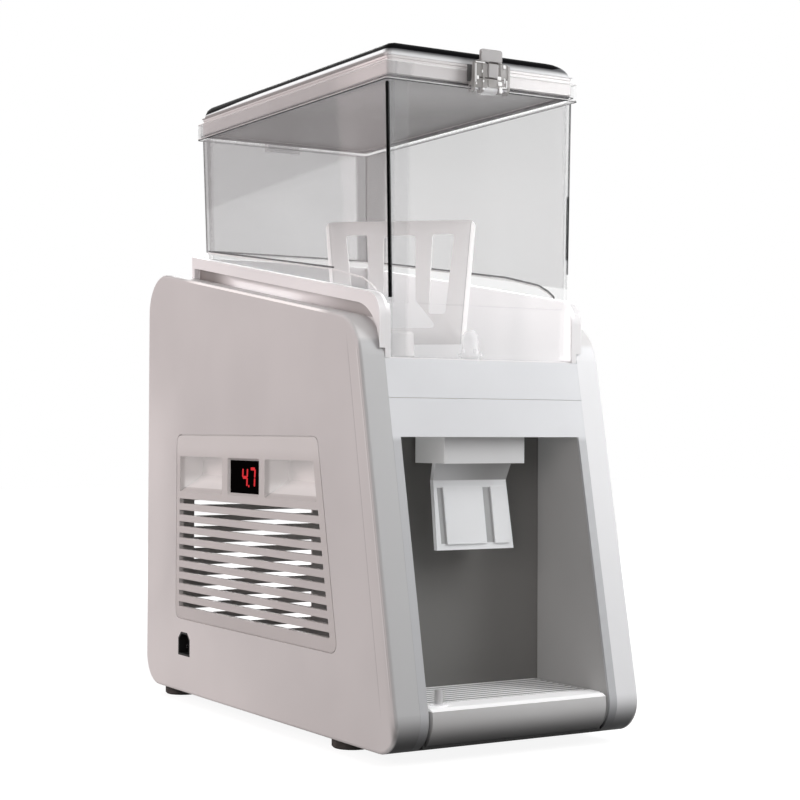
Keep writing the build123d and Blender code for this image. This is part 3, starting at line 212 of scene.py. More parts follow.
class Finish(Nodes):
    """A material: one Principled shader and the nodes that feed it."""

    def __init__(self, name, **sockets):
        self.material = bpy.data.materials.new(name)
        self.material.use_nodes = True
        super().__init__(self.material.node_tree)
        self.shader = self.tree.nodes["Principled BSDF"]
        self.set("Specular IOR Level", 0.3)
        for key, value in sockets.items():
            self.set(key.replace("_", " ").title().replace("Ior", "IOR"), value)

    def set(self, socket, value):
        self.feed(self.shader.inputs[socket], value)

    def place(self):
        """The three object coordinates as values in metres."""
        spot = self.node("ShaderNodeTexCoord", output="Object")
        split = self.tree.nodes.new("ShaderNodeSeparateXYZ")
        self.feed(split.inputs[0], spot)
        return [Value(self, split.outputs[axis]) for axis in "XYZ"]

    def noise(self, scale, detail=3.0, roughness=0.5, stretch=(1, 1, 1)):
        spot = self.node("ShaderNodeTexCoord", output="Object")
        spot = self.node("ShaderNodeMapping", inputs={"Vector": spot, "Scale": stretch})
        inputs = {"Vector": spot, "Scale": scale, "Detail": detail, "Roughness": roughness}
        return self.node("ShaderNodeTexNoise", inputs=inputs)

    def facing(self):
        """0 where the surface is seen square on, and 1 where it is seen along."""
        return self.node("ShaderNodeLayerWeight", inputs={"Blend": 0.35}, output="Facing")

    def mix(self, factor, first, second):
        settings = {"data_type": "RGBA", "clamp_factor": True}
        inputs = {MIX_FACTOR: factor, MIX_FIRST: first, MIX_SECOND: second}
        return self.node("ShaderNodeMix", settings, inputs, MIX_RESULT)

    def uneven(self, colour, scale, spread):
        """Give the surface a colour with patches a little darker and lighter than itself."""
        tone = self.noise(scale, 2.0).rise(0.3, 0.7)
        self.set("Base Color", self.mix(tone, shade(colour, 1 - spread), shade(colour, 1 + spread)))

    def tint(self, factor, colour):
        """Lay a colour over what the surface has already."""
        before = Value(self, self.shader.inputs["Base Color"].links[0].from_socket)
        self.set("Base Color", self.mix(factor, before, colour))

    def ground_shade(self, low, high):
        """Darken the surface towards the floor, where no light comes in under it."""
        height = self.place()[2]
        self.tint(height.fall(low, high) * 0.97, BLACK)

    def glow(self, factor, colour):
        """Painted light where the factor says: emission that brightens the surface though it is no lamp."""
        self.set("Emission Strength", 1.0)
        self.set("Emission Color", self.mix(factor, BLACK, colour))

    def bump(self, height, distance):
        inputs = {"Height": height, "Distance": distance, "Strength": 1.0}
        self.set("Normal", self.node("ShaderNodeBump", inputs=inputs))


def moulded_plastic(name, colour, roughness, grain=0.00003, **sockets):
    """Satin moulded plastic: faint uneven tone, fine spark grain and a slight change of gloss."""
    finish = Finish(name, roughness=roughness, **sockets)
    finish.uneven(colour, 9.0, 0.03)
    finish.set("Roughness", roughness + (finish.noise(40.0, 3.0) - 0.5) * 0.12)
    finish.bump(finish.noise(2600.0, 2.0, 0.6), grain)
    return finish


def above_plane(y, z, plane):
    """How far a place is above a plane that slopes towards the rear, in metres."""
    depth, height, slope = plane
    return z - height * MM - (y - depth_y(depth)) * slope


def cover_plastic(name, colour, front_painted_tone):
    """The side covers, with painted light and shade: a front band painted a shade off the sides, painted
    shade in a crease, a groove and towards the floor, painted highlights on the ridge and along the top edge,
    and painted light that makes the sides paler low down and at the rear.
    """
    finish = moulded_plastic(name, colour, 0.42)
    x, y, z = finish.place()
    across = x.size()
    inset = y - z * FRONT_SLOPE - FRONT_FOOT
    band = inset.fall(0.0012, 0.0030).most(z.fall(0.045, 0.052) * across.fall(0.119, 0.122))
    crease = (inset + z * 0.01).near(0.0232, 0.0003, 0.0009)
    crease = crease * z.between(0.03, 0.07, 0.33, 0.36) * across.rise(0.118, 0.120)
    groove_zone = z.between(0.05, 0.07, 0.335, 0.345)
    groove = inset.near(0.0036, 0.0004, 0.0010) * groove_zone
    ridge = inset.near(0.0052, 0.0003, 0.0009) * groove_zone
    # Painted tone on the front band: painted shade on the left cover, painted light on the right
    finish.tint(band * across.rise(0.0995, 0.1), front_painted_tone)
    # Painted shade in a crease and a groove, and a painted highlight on the ridge beside the groove
    finish.tint(crease * 0.45, shade(colour, 0.55))
    finish.tint(groove * 0.4, shade(colour, 0.5))
    finish.tint(ridge * 0.6, grey(0.95))
    side = inset.rise(0.003, 0.012) * across.rise(0.119, 0.122)
    low = z.fall(0, 0.2) * (y.rise(-0.2, 0.15) * 0.6 + 0.4)
    rear = y.rise(0.15, 0.24) * z.fall(0.25, 0.35) * 0.6
    line = above_plane(y, z, COVER_TOP).rise(-0.0024, -0.0017) * across.rise(0.1206, 0.1211)
    line = line * y.behind(110.0, 140.0) * y.before(380.0, 420.0)
    # Painted shade towards the floor, except on the sides
    finish.tint(z.fall(0.012, 0.046) * (1 - side) * 0.97, BLACK)
    # Painted light low on the sides and at the rear, and a painted highlight along the top edge
    finish.glow((side * low.most(rear) * 0.33).most(line), (0.45, 0.41, 0.40, 1.0))
    return finish


def liner_plastic(name, colour, back_shade_colour):
    """The nook's lining: grey, with painted shade that makes the back wall darker and painted light on the
    other walls.
    """
    finish = moulded_plastic(name, colour, 0.5)
    back = finish.place()[1].behind(106.0, 107.0)
    # Painted shade on the back wall and painted light on the rest
    finish.tint(back, back_shade_colour)
    finish.glow(1 - back, (0.044, 0.046, 0.046, 1.0))
    return finish


def bed_plastic(name, colour):
    """The tank bed: painted light makes it brightest down in its well, standing in for light let through its
    pale plastic; painted shade darkens both ends of the recess beside the tank, and painted light lies along
    the recess's middle and on the lip's outside.
    """
    finish = moulded_plastic(name, colour, 0.35)
    x, y, z = finish.place()
    across, over = x.size(), above_plane(y, z, COVER_TOP)
    well = across.fall(0.0975, 0.0990) * y.behind(59.0, 62.0) * y.before(424.0, 426.0) * z.rise(0.334, 0.336)
    streak = finish.noise(26.0, 2.0, 0.5, (1.0, 0.35, 0.2))
    recess = across.between(0.0985, 0.0992, 0.1, 0.101) * over.between(-0.001, 0.0, 0.0100, 0.0108)
    recess = recess * y.behind(61.0, 62.0) * y.before(428.0, 429.0)
    ends = y.behind(340.0, 400.0) * 0.85 + y.before(110.0, 220.0) * 0.6
    ends = ends.most(over.rise(0.004, 0.010) * 0.35)
    middle = y.behind(190.0, 240.0) * y.before(330.0, 365.0)
    pale = (recess * middle * over.fall(0.003, 0.009) * 0.55).most(across.rise(0.1040, 0.1046) * 0.17)
    # Painted shade at both ends of the recess
    finish.tint(recess * ends, (0.13, 0.105, 0.095, 1.0))
    # Painted light in the well, streaked, along the middle of the recess and on the lip's outside
    finish.glow((well * (0.75 + streak * 0.5)).most(pale), (0.49, 0.495, 0.5, 1.0))
    return finish


def panel_plastic(name, colour):
    """The grille panels, with painted light in the finger pockets and on the upper part, and a painted
    highlight along the top edge above the pockets.
    """
    finish = moulded_plastic(name, colour, 0.42)
    x, _, z = finish.place()
    inward = SIDE_X - x.size()
    hollow = inward.between(0.003, 0.007, 0.03, 0.032)
    lit = (z.fall(0.216, 0.228) * 0.75 + 0.45) * (z.rise(0.2138, 0.2142) * 0.75 + 0.25)
    top_line = z.between(0.2682, 0.2686, 0.2702, 0.2706) * inward.fall(0.0008, 0.0014)
    upper = z.rise(0.24, 0.256) * 0.3
    # Painted light in the pockets and on the upper part, and a painted highlight along the top edge
    finish.glow((hollow * lit).most(top_line).most(upper), (0.21, 0.205, 0.205, 1.0))
    return finish


def front_plastic(name, colour):
    """The front's plastic, with painted shade: the narrow frame round the cup opening is a shade darker, and
    the plastic darkens towards the floor.
    """
    finish = moulded_plastic(name, colour, 0.38)
    # Painted shade: darker below a height, on the frame round the cup opening
    finish.tint(finish.place()[2].fall(0.262, 0.268), shade(colour, 0.72))
    finish.ground_shade(0.010, 0.045)
    return finish


def head_plastic(name, colour):
    """The dispensing head's plastic, with painted light: most on its left cheek, standing in for light that
    comes back from the nook's wall, and a little on the rest.
    """
    finish = moulded_plastic(name, colour, 0.38)
    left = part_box("dispensing_head")[0].x
    cheek = finish.place()[0].rise(left + 0.0004, left + 0.0010)
    # Painted light, strongest on the left cheek
    finish.glow(1 - cheek * 0.75, (0.13, 0.13, 0.128, 1.0))
    return finish


def tray_plastic(name, colour):
    """The drip tray's plastic: a painted highlight brightens its level top in front of the grille, and
    painted shade darkens it where the bar turns under.
    """
    finish = moulded_plastic(name, colour, 0.40)
    _, y, z = finish.place()
    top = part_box("drip_tray")[1].z
    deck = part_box("drip_grille")[0].y
    finish.ground_shade(0.011, 0.0375)
    # Painted highlight on the level top in front of the grille
    strip = z.rise(top - 0.0024, top - 0.0021) * y.fall(deck - 0.0006, deck)
    finish.tint(strip, grey(0.9))
    finish.glow(strip, (0.24, 0.24, 0.245, 1.0))
    return finish


def paddle_plastic(name, colour, recess):
    """The lever's plastic: white pads and border, painted shade on the floor of the two channels between them
    and under the neck, and painted light that is strongest along its left edge.
    """
    finish = moulded_plastic(name, colour, 0.38)
    x, y, z = finish.place()
    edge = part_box("lever")[0].x
    # Painted shade under the neck, deeper to the right
    neck = z.rise(0.2286, 0.2294)
    finish.tint(neck * (x.rise(-0.035, 0.02) * 0.6 + 0.4), grey(0.25))
    # Painted light, strongest along the left edge
    finish.glow(0.5 + x.fall(edge + 0.0005, edge + 0.0015) * 0.5, grey(0.14))
    depth, height, lean = PADDLE_FACE
    sunk = y - depth_y(depth - lean * height) - z * lean
    left = x.between(-0.0352, -0.0348, -0.0299, -0.0295)
    right = x.between(0.0109, 0.0113, 0.0197, 0.0201)
    # Painted shade on the floor of the channels
    channel = z.between(0.1742, 0.1748, 0.2222, 0.2228) * (left + right) * sunk.rise(-0.0014, -0.0006)
    finish.tint(channel, recess)
    return finish


def gloss_plastic(name, colour, roughness=0.16, **sockets):
    """Polished moulded plastic with a clear skin and a faint waviness."""
    finish = Finish(name, **{"coat_weight": 0.5, "coat_roughness": 0.06, **sockets})
    finish.uneven(colour, 6.0, 0.02)
    finish.set("Roughness", roughness + (finish.noise(30.0) - 0.5) * 0.06)
    finish.bump(finish.noise(22.0, 1.0), 0.0002)
    return finish


def clear_plastic(name, colour, body, edge, roughness):
    """Clear acrylic: mostly see-through, stronger where it is seen along its surface, with a faint painted
    light of its own.
    """
    # Emission of a fifth of its colour is painted light that keeps it pale in shade
    finish = Finish(
        name, base_color=colour, ior=1.49, emission_strength=1.0, emission_color=shade(colour, 0.2)
    )
    finish.set("Alpha", body + finish.facing() ** 3.0 * edge)
    finish.set("Roughness", roughness + finish.noise(18.0) * 0.03)
    return finish


def tank_plastic(name, colour):
    """The tank's acrylic: clear in front, with painted shade as a darker veil on the sides and rear, deepest
    on the left wall and along the front's left edge, and darker painted shade in the right rear corner and a
    wedge on the left wall.
    """
    finish = Finish(name, base_color=colour, ior=1.49)
    x, y, z = finish.place()
    over = above_plane(y, z, TANK_LEDGE).rise(0.0, 0.002) * z.fall(0.5665, 0.5670)
    walls = x.rise(0.088, 0.090).most(y.behind(410.0, 412.0))
    left = x.fall(-0.090, -0.088)
    left_strip = x.between(-0.092, -0.090, -0.076, -0.072) * y.before(70.0, 72.0)
    cloud = finish.noise(7.0, 2.0, 0.4, (1.0, 1.0, 0.4))
    # Painted shade: a darker, cloudy veil on the walls, most on the left
    wall_shade = over * walls * (0.155 + cloud * 0.05) + left * 0.16 + left_strip * 0.12
    corner = x.rise(0.082, 0.084) * y.behind(383.0, 388.0) * over
    wedge = above_plane(y, z, SHADE_WEDGE_EDGE).rise(-0.003, 0.003) * left * over
    # Painted shade in the right rear corner and a wedge on the left wall
    dark_shade = (corner * 0.7).most(wedge * 0.22)
    finish.set("Base Color", finish.mix(dark_shade, colour, grey(0.09)))
    finish.set("Alpha", 0.03 + finish.facing() ** 3.0 * 0.35 + wall_shade + dark_shade * 0.42)
    finish.set("Roughness", 0.04 + finish.noise(18.0) * 0.03)
    return finish


def edge_plastic(name, colour, body):
    """Painted shade and painted highlights for what light does in thick clear acrylic: a dark or bright line
    or patch, a little uneven along it.
    """
    finish = Finish(name, base_color=colour, specular_ior_level=0.05, roughness=0.3, ior=1.05)
    finish.set("Alpha", body + (finish.noise(14.0, 2.0) - 0.5) * 0.06)
    return finish


def bare_metal(name, colour, roughness):
    """Drawn or rolled metal with fine lines along one direction."""
    finish = Finish(name, metallic=1.0)
    lines = finish.noise(120.0, 3.0, 0.6, (1, 1, 60))
    finish.set("Base Color", finish.mix(lines, shade(colour, 0.88), shade(colour, 1.08)))
    finish.set("Roughness", roughness + (lines - 0.5) * 0.2)
    finish.bump(lines, 0.00002)
    return finish


def under_plastic(name, colour, front_lit_colour):
    """The panel under the lid: grey as painted shade on white plastic, and paler towards the front as painted
    light where more light reaches it.
    """
    finish = moulded_plastic(name, colour, 0.45)
    x, y, _ = finish.place()
    cloud = finish.noise(5.0, 2.0) - 0.5
    # Painted light, paler towards the front
    finish.tint((y + x * 0.6 + cloud * 0.08).before(70.0, 260.0), front_lit_colour)
    return finish


def stirrer_plastic(name, colour):
    """The stirrer's plastic, with painted light all over, a painted highlight on its sloping rim and a
    painted shadow line inside it.
    """
    finish = moulded_plastic(name, colour, 0.35)
    x, y, z = finish.place()
    along = (x * cos(STIRRER_TURN) + (y - depth_y(STIRRER_DEPTH)) * sin(STIRRER_TURN)).size()
    rim = along - ((z - BLADE_LOW * MM) * BLADE_FLARE + BLADE_LOW_HALF * MM)
    # Painted shadow line inside the rim, painted light all over and a painted highlight on the rim
    finish.tint(rim.near(-0.0042, 0.0002, 0.0006) * 0.35, grey(0.3))
    finish.glow(rim.rise(-0.0037, -0.0034) * 0.7 + 0.3, grey(0.36))
    return finish


def lid_gloss(name):
    """The lid's top: deep black above, and below it a pale moulded shoulder with a painted highlight and
    painted reflections, and painted light on its sides.
    """
    finish = Finish(name, specular_ior_level=0.05, roughness=0.3, ior=1.2)
    x, y, z = finish.place()
    front = y.before(64.0, 72.0)
    top = 0.5941 - y.behind(300.0, 430.0) * 0.0022 + x.rise(0.072, 0.092) * 0.004
    black = (z - top).rise(-0.0008, 0.0003)
    # Painted highlight: the shoulder whitens towards the black
    shine = z.rise(0.5900, 0.5920)
    pale = finish.mix(shine, paint(176, 175, 175), paint(252, 252, 252))
    # Painted reflection on the front: a band from white to dark grey towards the black
    dull = finish.mix(z.rise(0.5893, 0.5938), paint(232, 233, 235), paint(96, 97, 99))
    pale = finish.mix(front, pale, dull)
    # Painted light on the shoulder's sides
    finish.glow(shine * (1 - black) * (1 - front), (0.36, 0.42, 0.43, 1.0))
    tone = finish.noise(30.0, 2.0)
    finish.set("Base Color", finish.mix(black, pale, finish.mix(tone, paint(8, 8, 9), paint(16, 16, 18))))
    finish.set("Roughness", 0.22 + tone * 0.1)
    finish.set("Coat Weight", z.rise(0.5994, 0.5998) * 0.3)
    finish.set("Coat Roughness", 0.1)
    finish.bump(finish.noise(22.0, 1.0), 0.0001)
    return finish


def lit_digits():
    """Red light behind the display window, a little uneven from bar to bar."""
    finish = Finish("lit_digits", base_color=paint(40, 4, 4), roughness=0.4, emission_strength=1.0,
                    specular_ior_level=0.05)
    glow = finish.noise(160.0, 1.0)
    finish.set("Emission Color", finish.mix(glow, paint(226, 30, 38), paint(188, 18, 28)))
    return finish


def soft_rubber(name, colour):
    """Matte rubber with a pebbled skin and a greyer bloom in places."""
    finish = Finish(name)
    bloom = finish.noise(60.0, 3.0)
    finish.set("Base Color", finish.mix(bloom.rise(0.4, 0.8), colour, shade(colour, 2.2)))
    finish.set("Roughness", 0.7 + bloom * 0.2)
    finish.bump(finish.noise(1500.0), 0.00008)
    return finish


def make_finishes():
    """Every material of the dispenser, by its own name."""
    made = {
        # Lit and shaded copies of one plastic: the left front band's grey is painted shade, the right's near
        # white is painted light
        "left_cover": cover_plastic("left_cover_white", paint(224, 223, 223), paint(197, 198, 199)),
        "right_cover": cover_plastic("right_cover_white", paint(224, 223, 223), paint(238, 239, 241)),
        "grille": panel_plastic("grille_white", paint(222, 220, 219)),
        "rear": moulded_plastic("rear_white", paint(222, 220, 219), 0.42),
        "front": front_plastic("front_white", paint(226, 228, 231)),
        "bed": bed_plastic("bed_white", paint(244, 243, 244)),
        # The liner's second, darker grey is painted shade for the back wall
        "liner": liner_plastic("liner_grey", paint(172, 171, 170), paint(132, 131, 129)),
        "tray": tray_plastic("tray_grey", paint(206, 206, 206)),
        "grating": moulded_plastic("grille_grey", paint(176, 176, 177), 0.42),
        "pin": moulded_plastic("float_grey", paint(196, 196, 197), 0.36),
        # The ribs' faint emission is painted light
        "rib": moulded_plastic("rib_white", paint(232, 232, 232), 0.35, emission_strength=1.0,
                               emission_color=grey(0.045)),
        "lever": head_plastic("head_white", paint(216, 217, 218)),
        # The paddle's second grey is painted shade for its channels
        "paddle": paddle_plastic("paddle_white", paint(222, 224, 226), paint(146, 147, 148)),
        "stirrer": stirrer_plastic("stirrer_white", paint(240, 238, 238)),
        "lid_band": gloss_plastic("lid_band_white", paint(221, 218, 218)),
        # The underside's grey is painted shade on white plastic, the paler colour painted light
        "lid_under": under_plastic("lid_under_grey", paint(148, 145, 144), paint(204, 203, 203)),
        "lid_top": lid_gloss("lid_top_black"),
        "clear": tank_plastic("clear_plastic", (0.42, 0.43, 0.44, 1.0)),
        "frosted": clear_plastic("frosted_plastic", (0.9, 0.9, 0.91, 1.0), 0.4, 0.5, 0.2),
        "latch_tab": moulded_plastic("latch_tab_grey", paint(168, 166, 166), 0.3),
        "latch_clear": clear_plastic("latch_clear", (0.36, 0.35, 0.34, 1.0), 0.55, 0.4, 0.08),
        # Painted shade and painted highlights on the latch
        "latch_shade": edge_plastic("latch_smoke", (0.075, 0.065, 0.06, 1.0), 0.72),
        "latch_shine": moulded_plastic("latch_shine", paint(250, 250, 250), 0.2),
        "latch_side": edge_plastic("latch_side", grey(0.16), 0.9),
        # Painted shade and painted highlight lines in the clear acrylic
        "edge_black": edge_plastic("edge_black", grey(0.001), 0.97),
        "edge_grey": edge_plastic("edge_grey", (0.05, 0.05, 0.055, 1.0), 0.6),
        "edge_pale": edge_plastic("edge_pale", grey(0.95), 0.8),
        "digits": lit_digits(),
        "seal": soft_rubber("seal_rubber", paint(128, 126, 126)),
        "foot": soft_rubber("foot_rubber", paint(66, 63, 61)),
        "display": gloss_plastic("display_black", paint(6, 4, 4), 0.3, coat_weight=0.0, ior=1.05,
                                 specular_ior_level=0.02),
        "socket": moulded_plastic("socket_black", paint(20, 20, 20), 0.5),
        "steel": bare_metal("polished_steel", paint(200, 200, 202), 0.2),
        "cold": bare_metal("rolled_aluminium", paint(196, 198, 200), 0.35),
        "copper": bare_metal("copper_tube", paint(176, 112, 84), 0.35),
        "foam": moulded_plastic("foam_cream", paint(212, 205, 186), 0.9, 0.0006),
        "machine": moulded_plastic("machine_black", paint(34, 34, 36), 0.45),
        "board": moulded_plastic("board_green", paint(28, 84, 52), 0.5),
    }
    return {key: finish.material for key, finish in made.items()}


NODE_FINISHES = {
    "left_side_cover": "left_cover", "right_side_cover": "right_cover", "rear_cover": "rear",
    "left_grille_panel": "grille", "right_grille_panel": "grille", "display_frame": "grille",
    "display_window": "display", "inlet_socket": "socket", "inlet_blades": "steel",
    "base_pan": "front", "front_panel": "front", "front_surround": "front", "nook_liner": "liner",
    "tank_bed": "bed", "front_left_foot": "foot", "rear_left_foot": "foot", "front_right_foot": "foot",
    "rear_right_foot": "foot", "cold_plate": "cold", "cooling_tube": "copper", "foam_slab": "foam",
    "stirrer_motor": "machine", "compressor": "machine", "compressor_bracket": "cold", "condenser": "cold",
    "fan_shroud": "machine", "fan_motor": "machine", "fan_blades": "machine", "control_board": "board",
    "dispensing_head": "lever", "drop_tube": "lever", "lever_pin": "steel", "lever": "paddle",
    "valve_plunger": "steel", "tank": "clear", "outlet_dome": "frosted", "outlet_spout": "frosted",
    "stirrer_spindle": "frosted", "hinge_bracket": "frosted", "hinge_pin": "steel",
    "latch_bracket": "frosted", "latch_pin": "steel", "lid_tray": "lid_band", "lid_top": "lid_top",
    "lid_seal": "seal", "lid_knuckle": "frosted", "latch_catch": "lid_band", "latch_arm": "frosted",
    "stirrer": "stirrer", "drip_tray": "tray", "drip_grille": "grating", "float_collar": "frosted",
    "float_pin": "pin",
}


MADE = {}
SHARP_ANGLE = radians(35)


def finish_of(key):
    """A material by its finish; all are made on first use."""
    if not MADE:
        MADE.update(make_finishes())
    return MADE[key]


def dress(piece, key):
    """Give a piece or a CAD node one finish."""
    piece.data.materials.clear()
    piece.data.materials.append(finish_of(key))


def point(x, depth, height):
    """A place in metres from millimetres: across, behind the front of the body and above the floor."""
    return Vector((x * MM, depth_y(depth), height * MM))


def add_piece(name, mesh, key, body, replaced=()):
    """Put a mesh in the scene as a finished piece that rides on a body."""
    mesh.shade_smooth()
    mesh.set_sharp_from_angle(angle=SHARP_ANGLE)
    piece = bpy.data.objects.new(name, mesh)
    bpy.context.scene.collection.objects.link(piece)
    dress(piece, key)
    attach(piece, body)
    if replaced:
        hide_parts(*replaced)
    return piece


def make_piece(name, mesh_work, key, body, replaced=()):
    """Turn mesh work into a finished piece."""
    bmesh.ops.remove_doubles(mesh_work, verts=mesh_work.verts, dist=1e-6)
    bmesh.ops.recalc_face_normals(mesh_work, faces=mesh_work.faces)
    mesh = bpy.data.meshes.new(name)
    mesh_work.to_mesh(mesh)
    mesh_work.free()
    return add_piece(name, mesh, key, body, replaced)


def loft(mesh_work, rings, closed=False, capped=True):
    """Join rings of points, all of one length; cap the ends, join the last to the first or leave it open."""
    rows = [[mesh_work.verts.new(spot) for spot in ring] for ring in rings]
    count = len(rows[0])
    pairs = list(zip(rows, rows[1:]))
    if closed:
        pairs.append((rows[-1], rows[0]))
    for low, high in pairs:
        for here in range(count):
            after = (here + 1) % count
            mesh_work.faces.new((low[here], low[after], high[after], high[here]))
    if capped and not closed:
        mesh_work.faces.new(list(reversed(rows[0])))
        mesh_work.faces.new(rows[-1])


def corner_arc(centre, radius, start, steps=6):
    """Points of a quarter circle about a centre, from an angle in degrees."""
    turns = [radians(start + 90 * step / steps) for step in range(steps + 1)]
    return [(centre[0] + radius * cos(turn), centre[1] + radius * sin(turn)) for turn in turns]


def rounded_box(low, high, radius, steps=6):
    """Corners of an upright or level rectangle with round corners, as pairs."""
    (x0, y0), (x1, y1) = low, high
    spots = corner_arc((x1 - radius, y1 - radius), radius, 0, steps)
    spots += corner_arc((x0 + radius, y1 - radius), radius, 90, steps)
    spots += corner_arc((x0 + radius, y0 + radius), radius, 180, steps)
    spots += corner_arc((x1 - radius, y0 + radius), radius, 270, steps)
    return spots


def drawn_in(outline, middle, amount):
    """An outline with its points moved towards a middle, by as much across as up."""
    spots = []
    for u, v in outline:
        spots.append((u - amount * (1 if u > middle[0] else -1), v - amount * (1 if v > middle[1] else -1)))
    return spots


def slab(mesh_work, outline, place, low, high, edge=0.0):
    """A plate between two levels whose edges are eased; place turns a pair and a level into a point."""
    if edge:
        middle = [sum(values) / len(outline) for values in zip(*outline)]
        drawn = drawn_in(outline, middle, edge)
        levels = [(low, drawn), (low + edge, outline), (high - edge, outline), (high, drawn)]
    else:
        levels = [(low, outline), (high, outline)]
    loft(mesh_work, [[place(u, v, level) for u, v in shape] for level, shape in levels])


def front_place(x, height, depth):
    """For plates that face the front; plates that lie flat take point itself."""
    return point(x, depth, height)


def side_place(depth, height, x):
    """For plates that face the side."""
    return point(x, depth, height)


def level_ring(outline, height):
    """An outline across and in depth, as points at one height."""
    return [point(x, depth, height) for x, depth in outline]


def turned_rings(x, y, profile, steps):
    """Rings of a turned piece about an upright axis, from radii and heights in metres."""
    turns = [2 * pi * step / steps for step in range(steps)]
    return [
        [Vector((x + radius * cos(turn), y + radius * sin(turn), height)) for turn in turns]
        for radius, height in profile
    ]


# The ledge round the tank, as depths and heights in millimetres
LEDGE = (
    (63.0, 380.0), (79.0, 385.0), (84.0, 392.0), (93.0, 398.0), (108.0, 404.6), (160.0, 415.6),
    (424.0, 452.4),
)
# The tank's lower and upper end, its half width and depths at each, and its rim, in millimetres
BED_FLOOR = 3.3
TANK_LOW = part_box("tank_bed")[0].z / MM + BED_FLOOR
TANK_TOP = 570.0
TANK_BASE = (92.2, 62.7, 420.0)
TANK_MOUTH = (97.0, 63.2, 430.5)
TANK_CORNER = 3.0
RIM_HALF, RIM_FRONT, RIM_REAR = 100.0, 58.4, 436.7
RIM_LOW, RIM_TOP = 567.0, 583.0
RIM_EASE = 0.6


def ledge_height(depth):
    """Height of the ledge round the tank at a depth."""
    for (near, low), (far, high) in zip(LEDGE, LEDGE[1:]):
        if depth <= far:
            return low + (high - low) * max(0.0, depth - near) / (far - near)
    return LEDGE[-1][1]


def tank_share(height):
    return (height - TANK_LOW) / (TANK_TOP - TANK_LOW)


def tank_size(share):
    """Half width, front depth and rear depth of the tank at a share of its height."""
    return [low + (high - low) * share for low, high in zip(TANK_BASE, TANK_MOUTH)]


def tank_outline(share, inset):
    """The tank's outline at a share of its height, drawn in by inset."""
    half, front, rear = tank_size(share)
    radius = max(0.6, TANK_CORNER - inset)
    return rounded_box((-half + inset, front + inset), (half - inset, rear - inset), radius, 4)


def rim_outline(inset, radius=TANK_CORNER):
    """The outline of the tank's rim, drawn in by inset."""
    half, front, rear = RIM_HALF - inset, RIM_FRONT + inset, RIM_REAR - inset
    return rounded_box((-half, front), (half, rear), radius, 4)


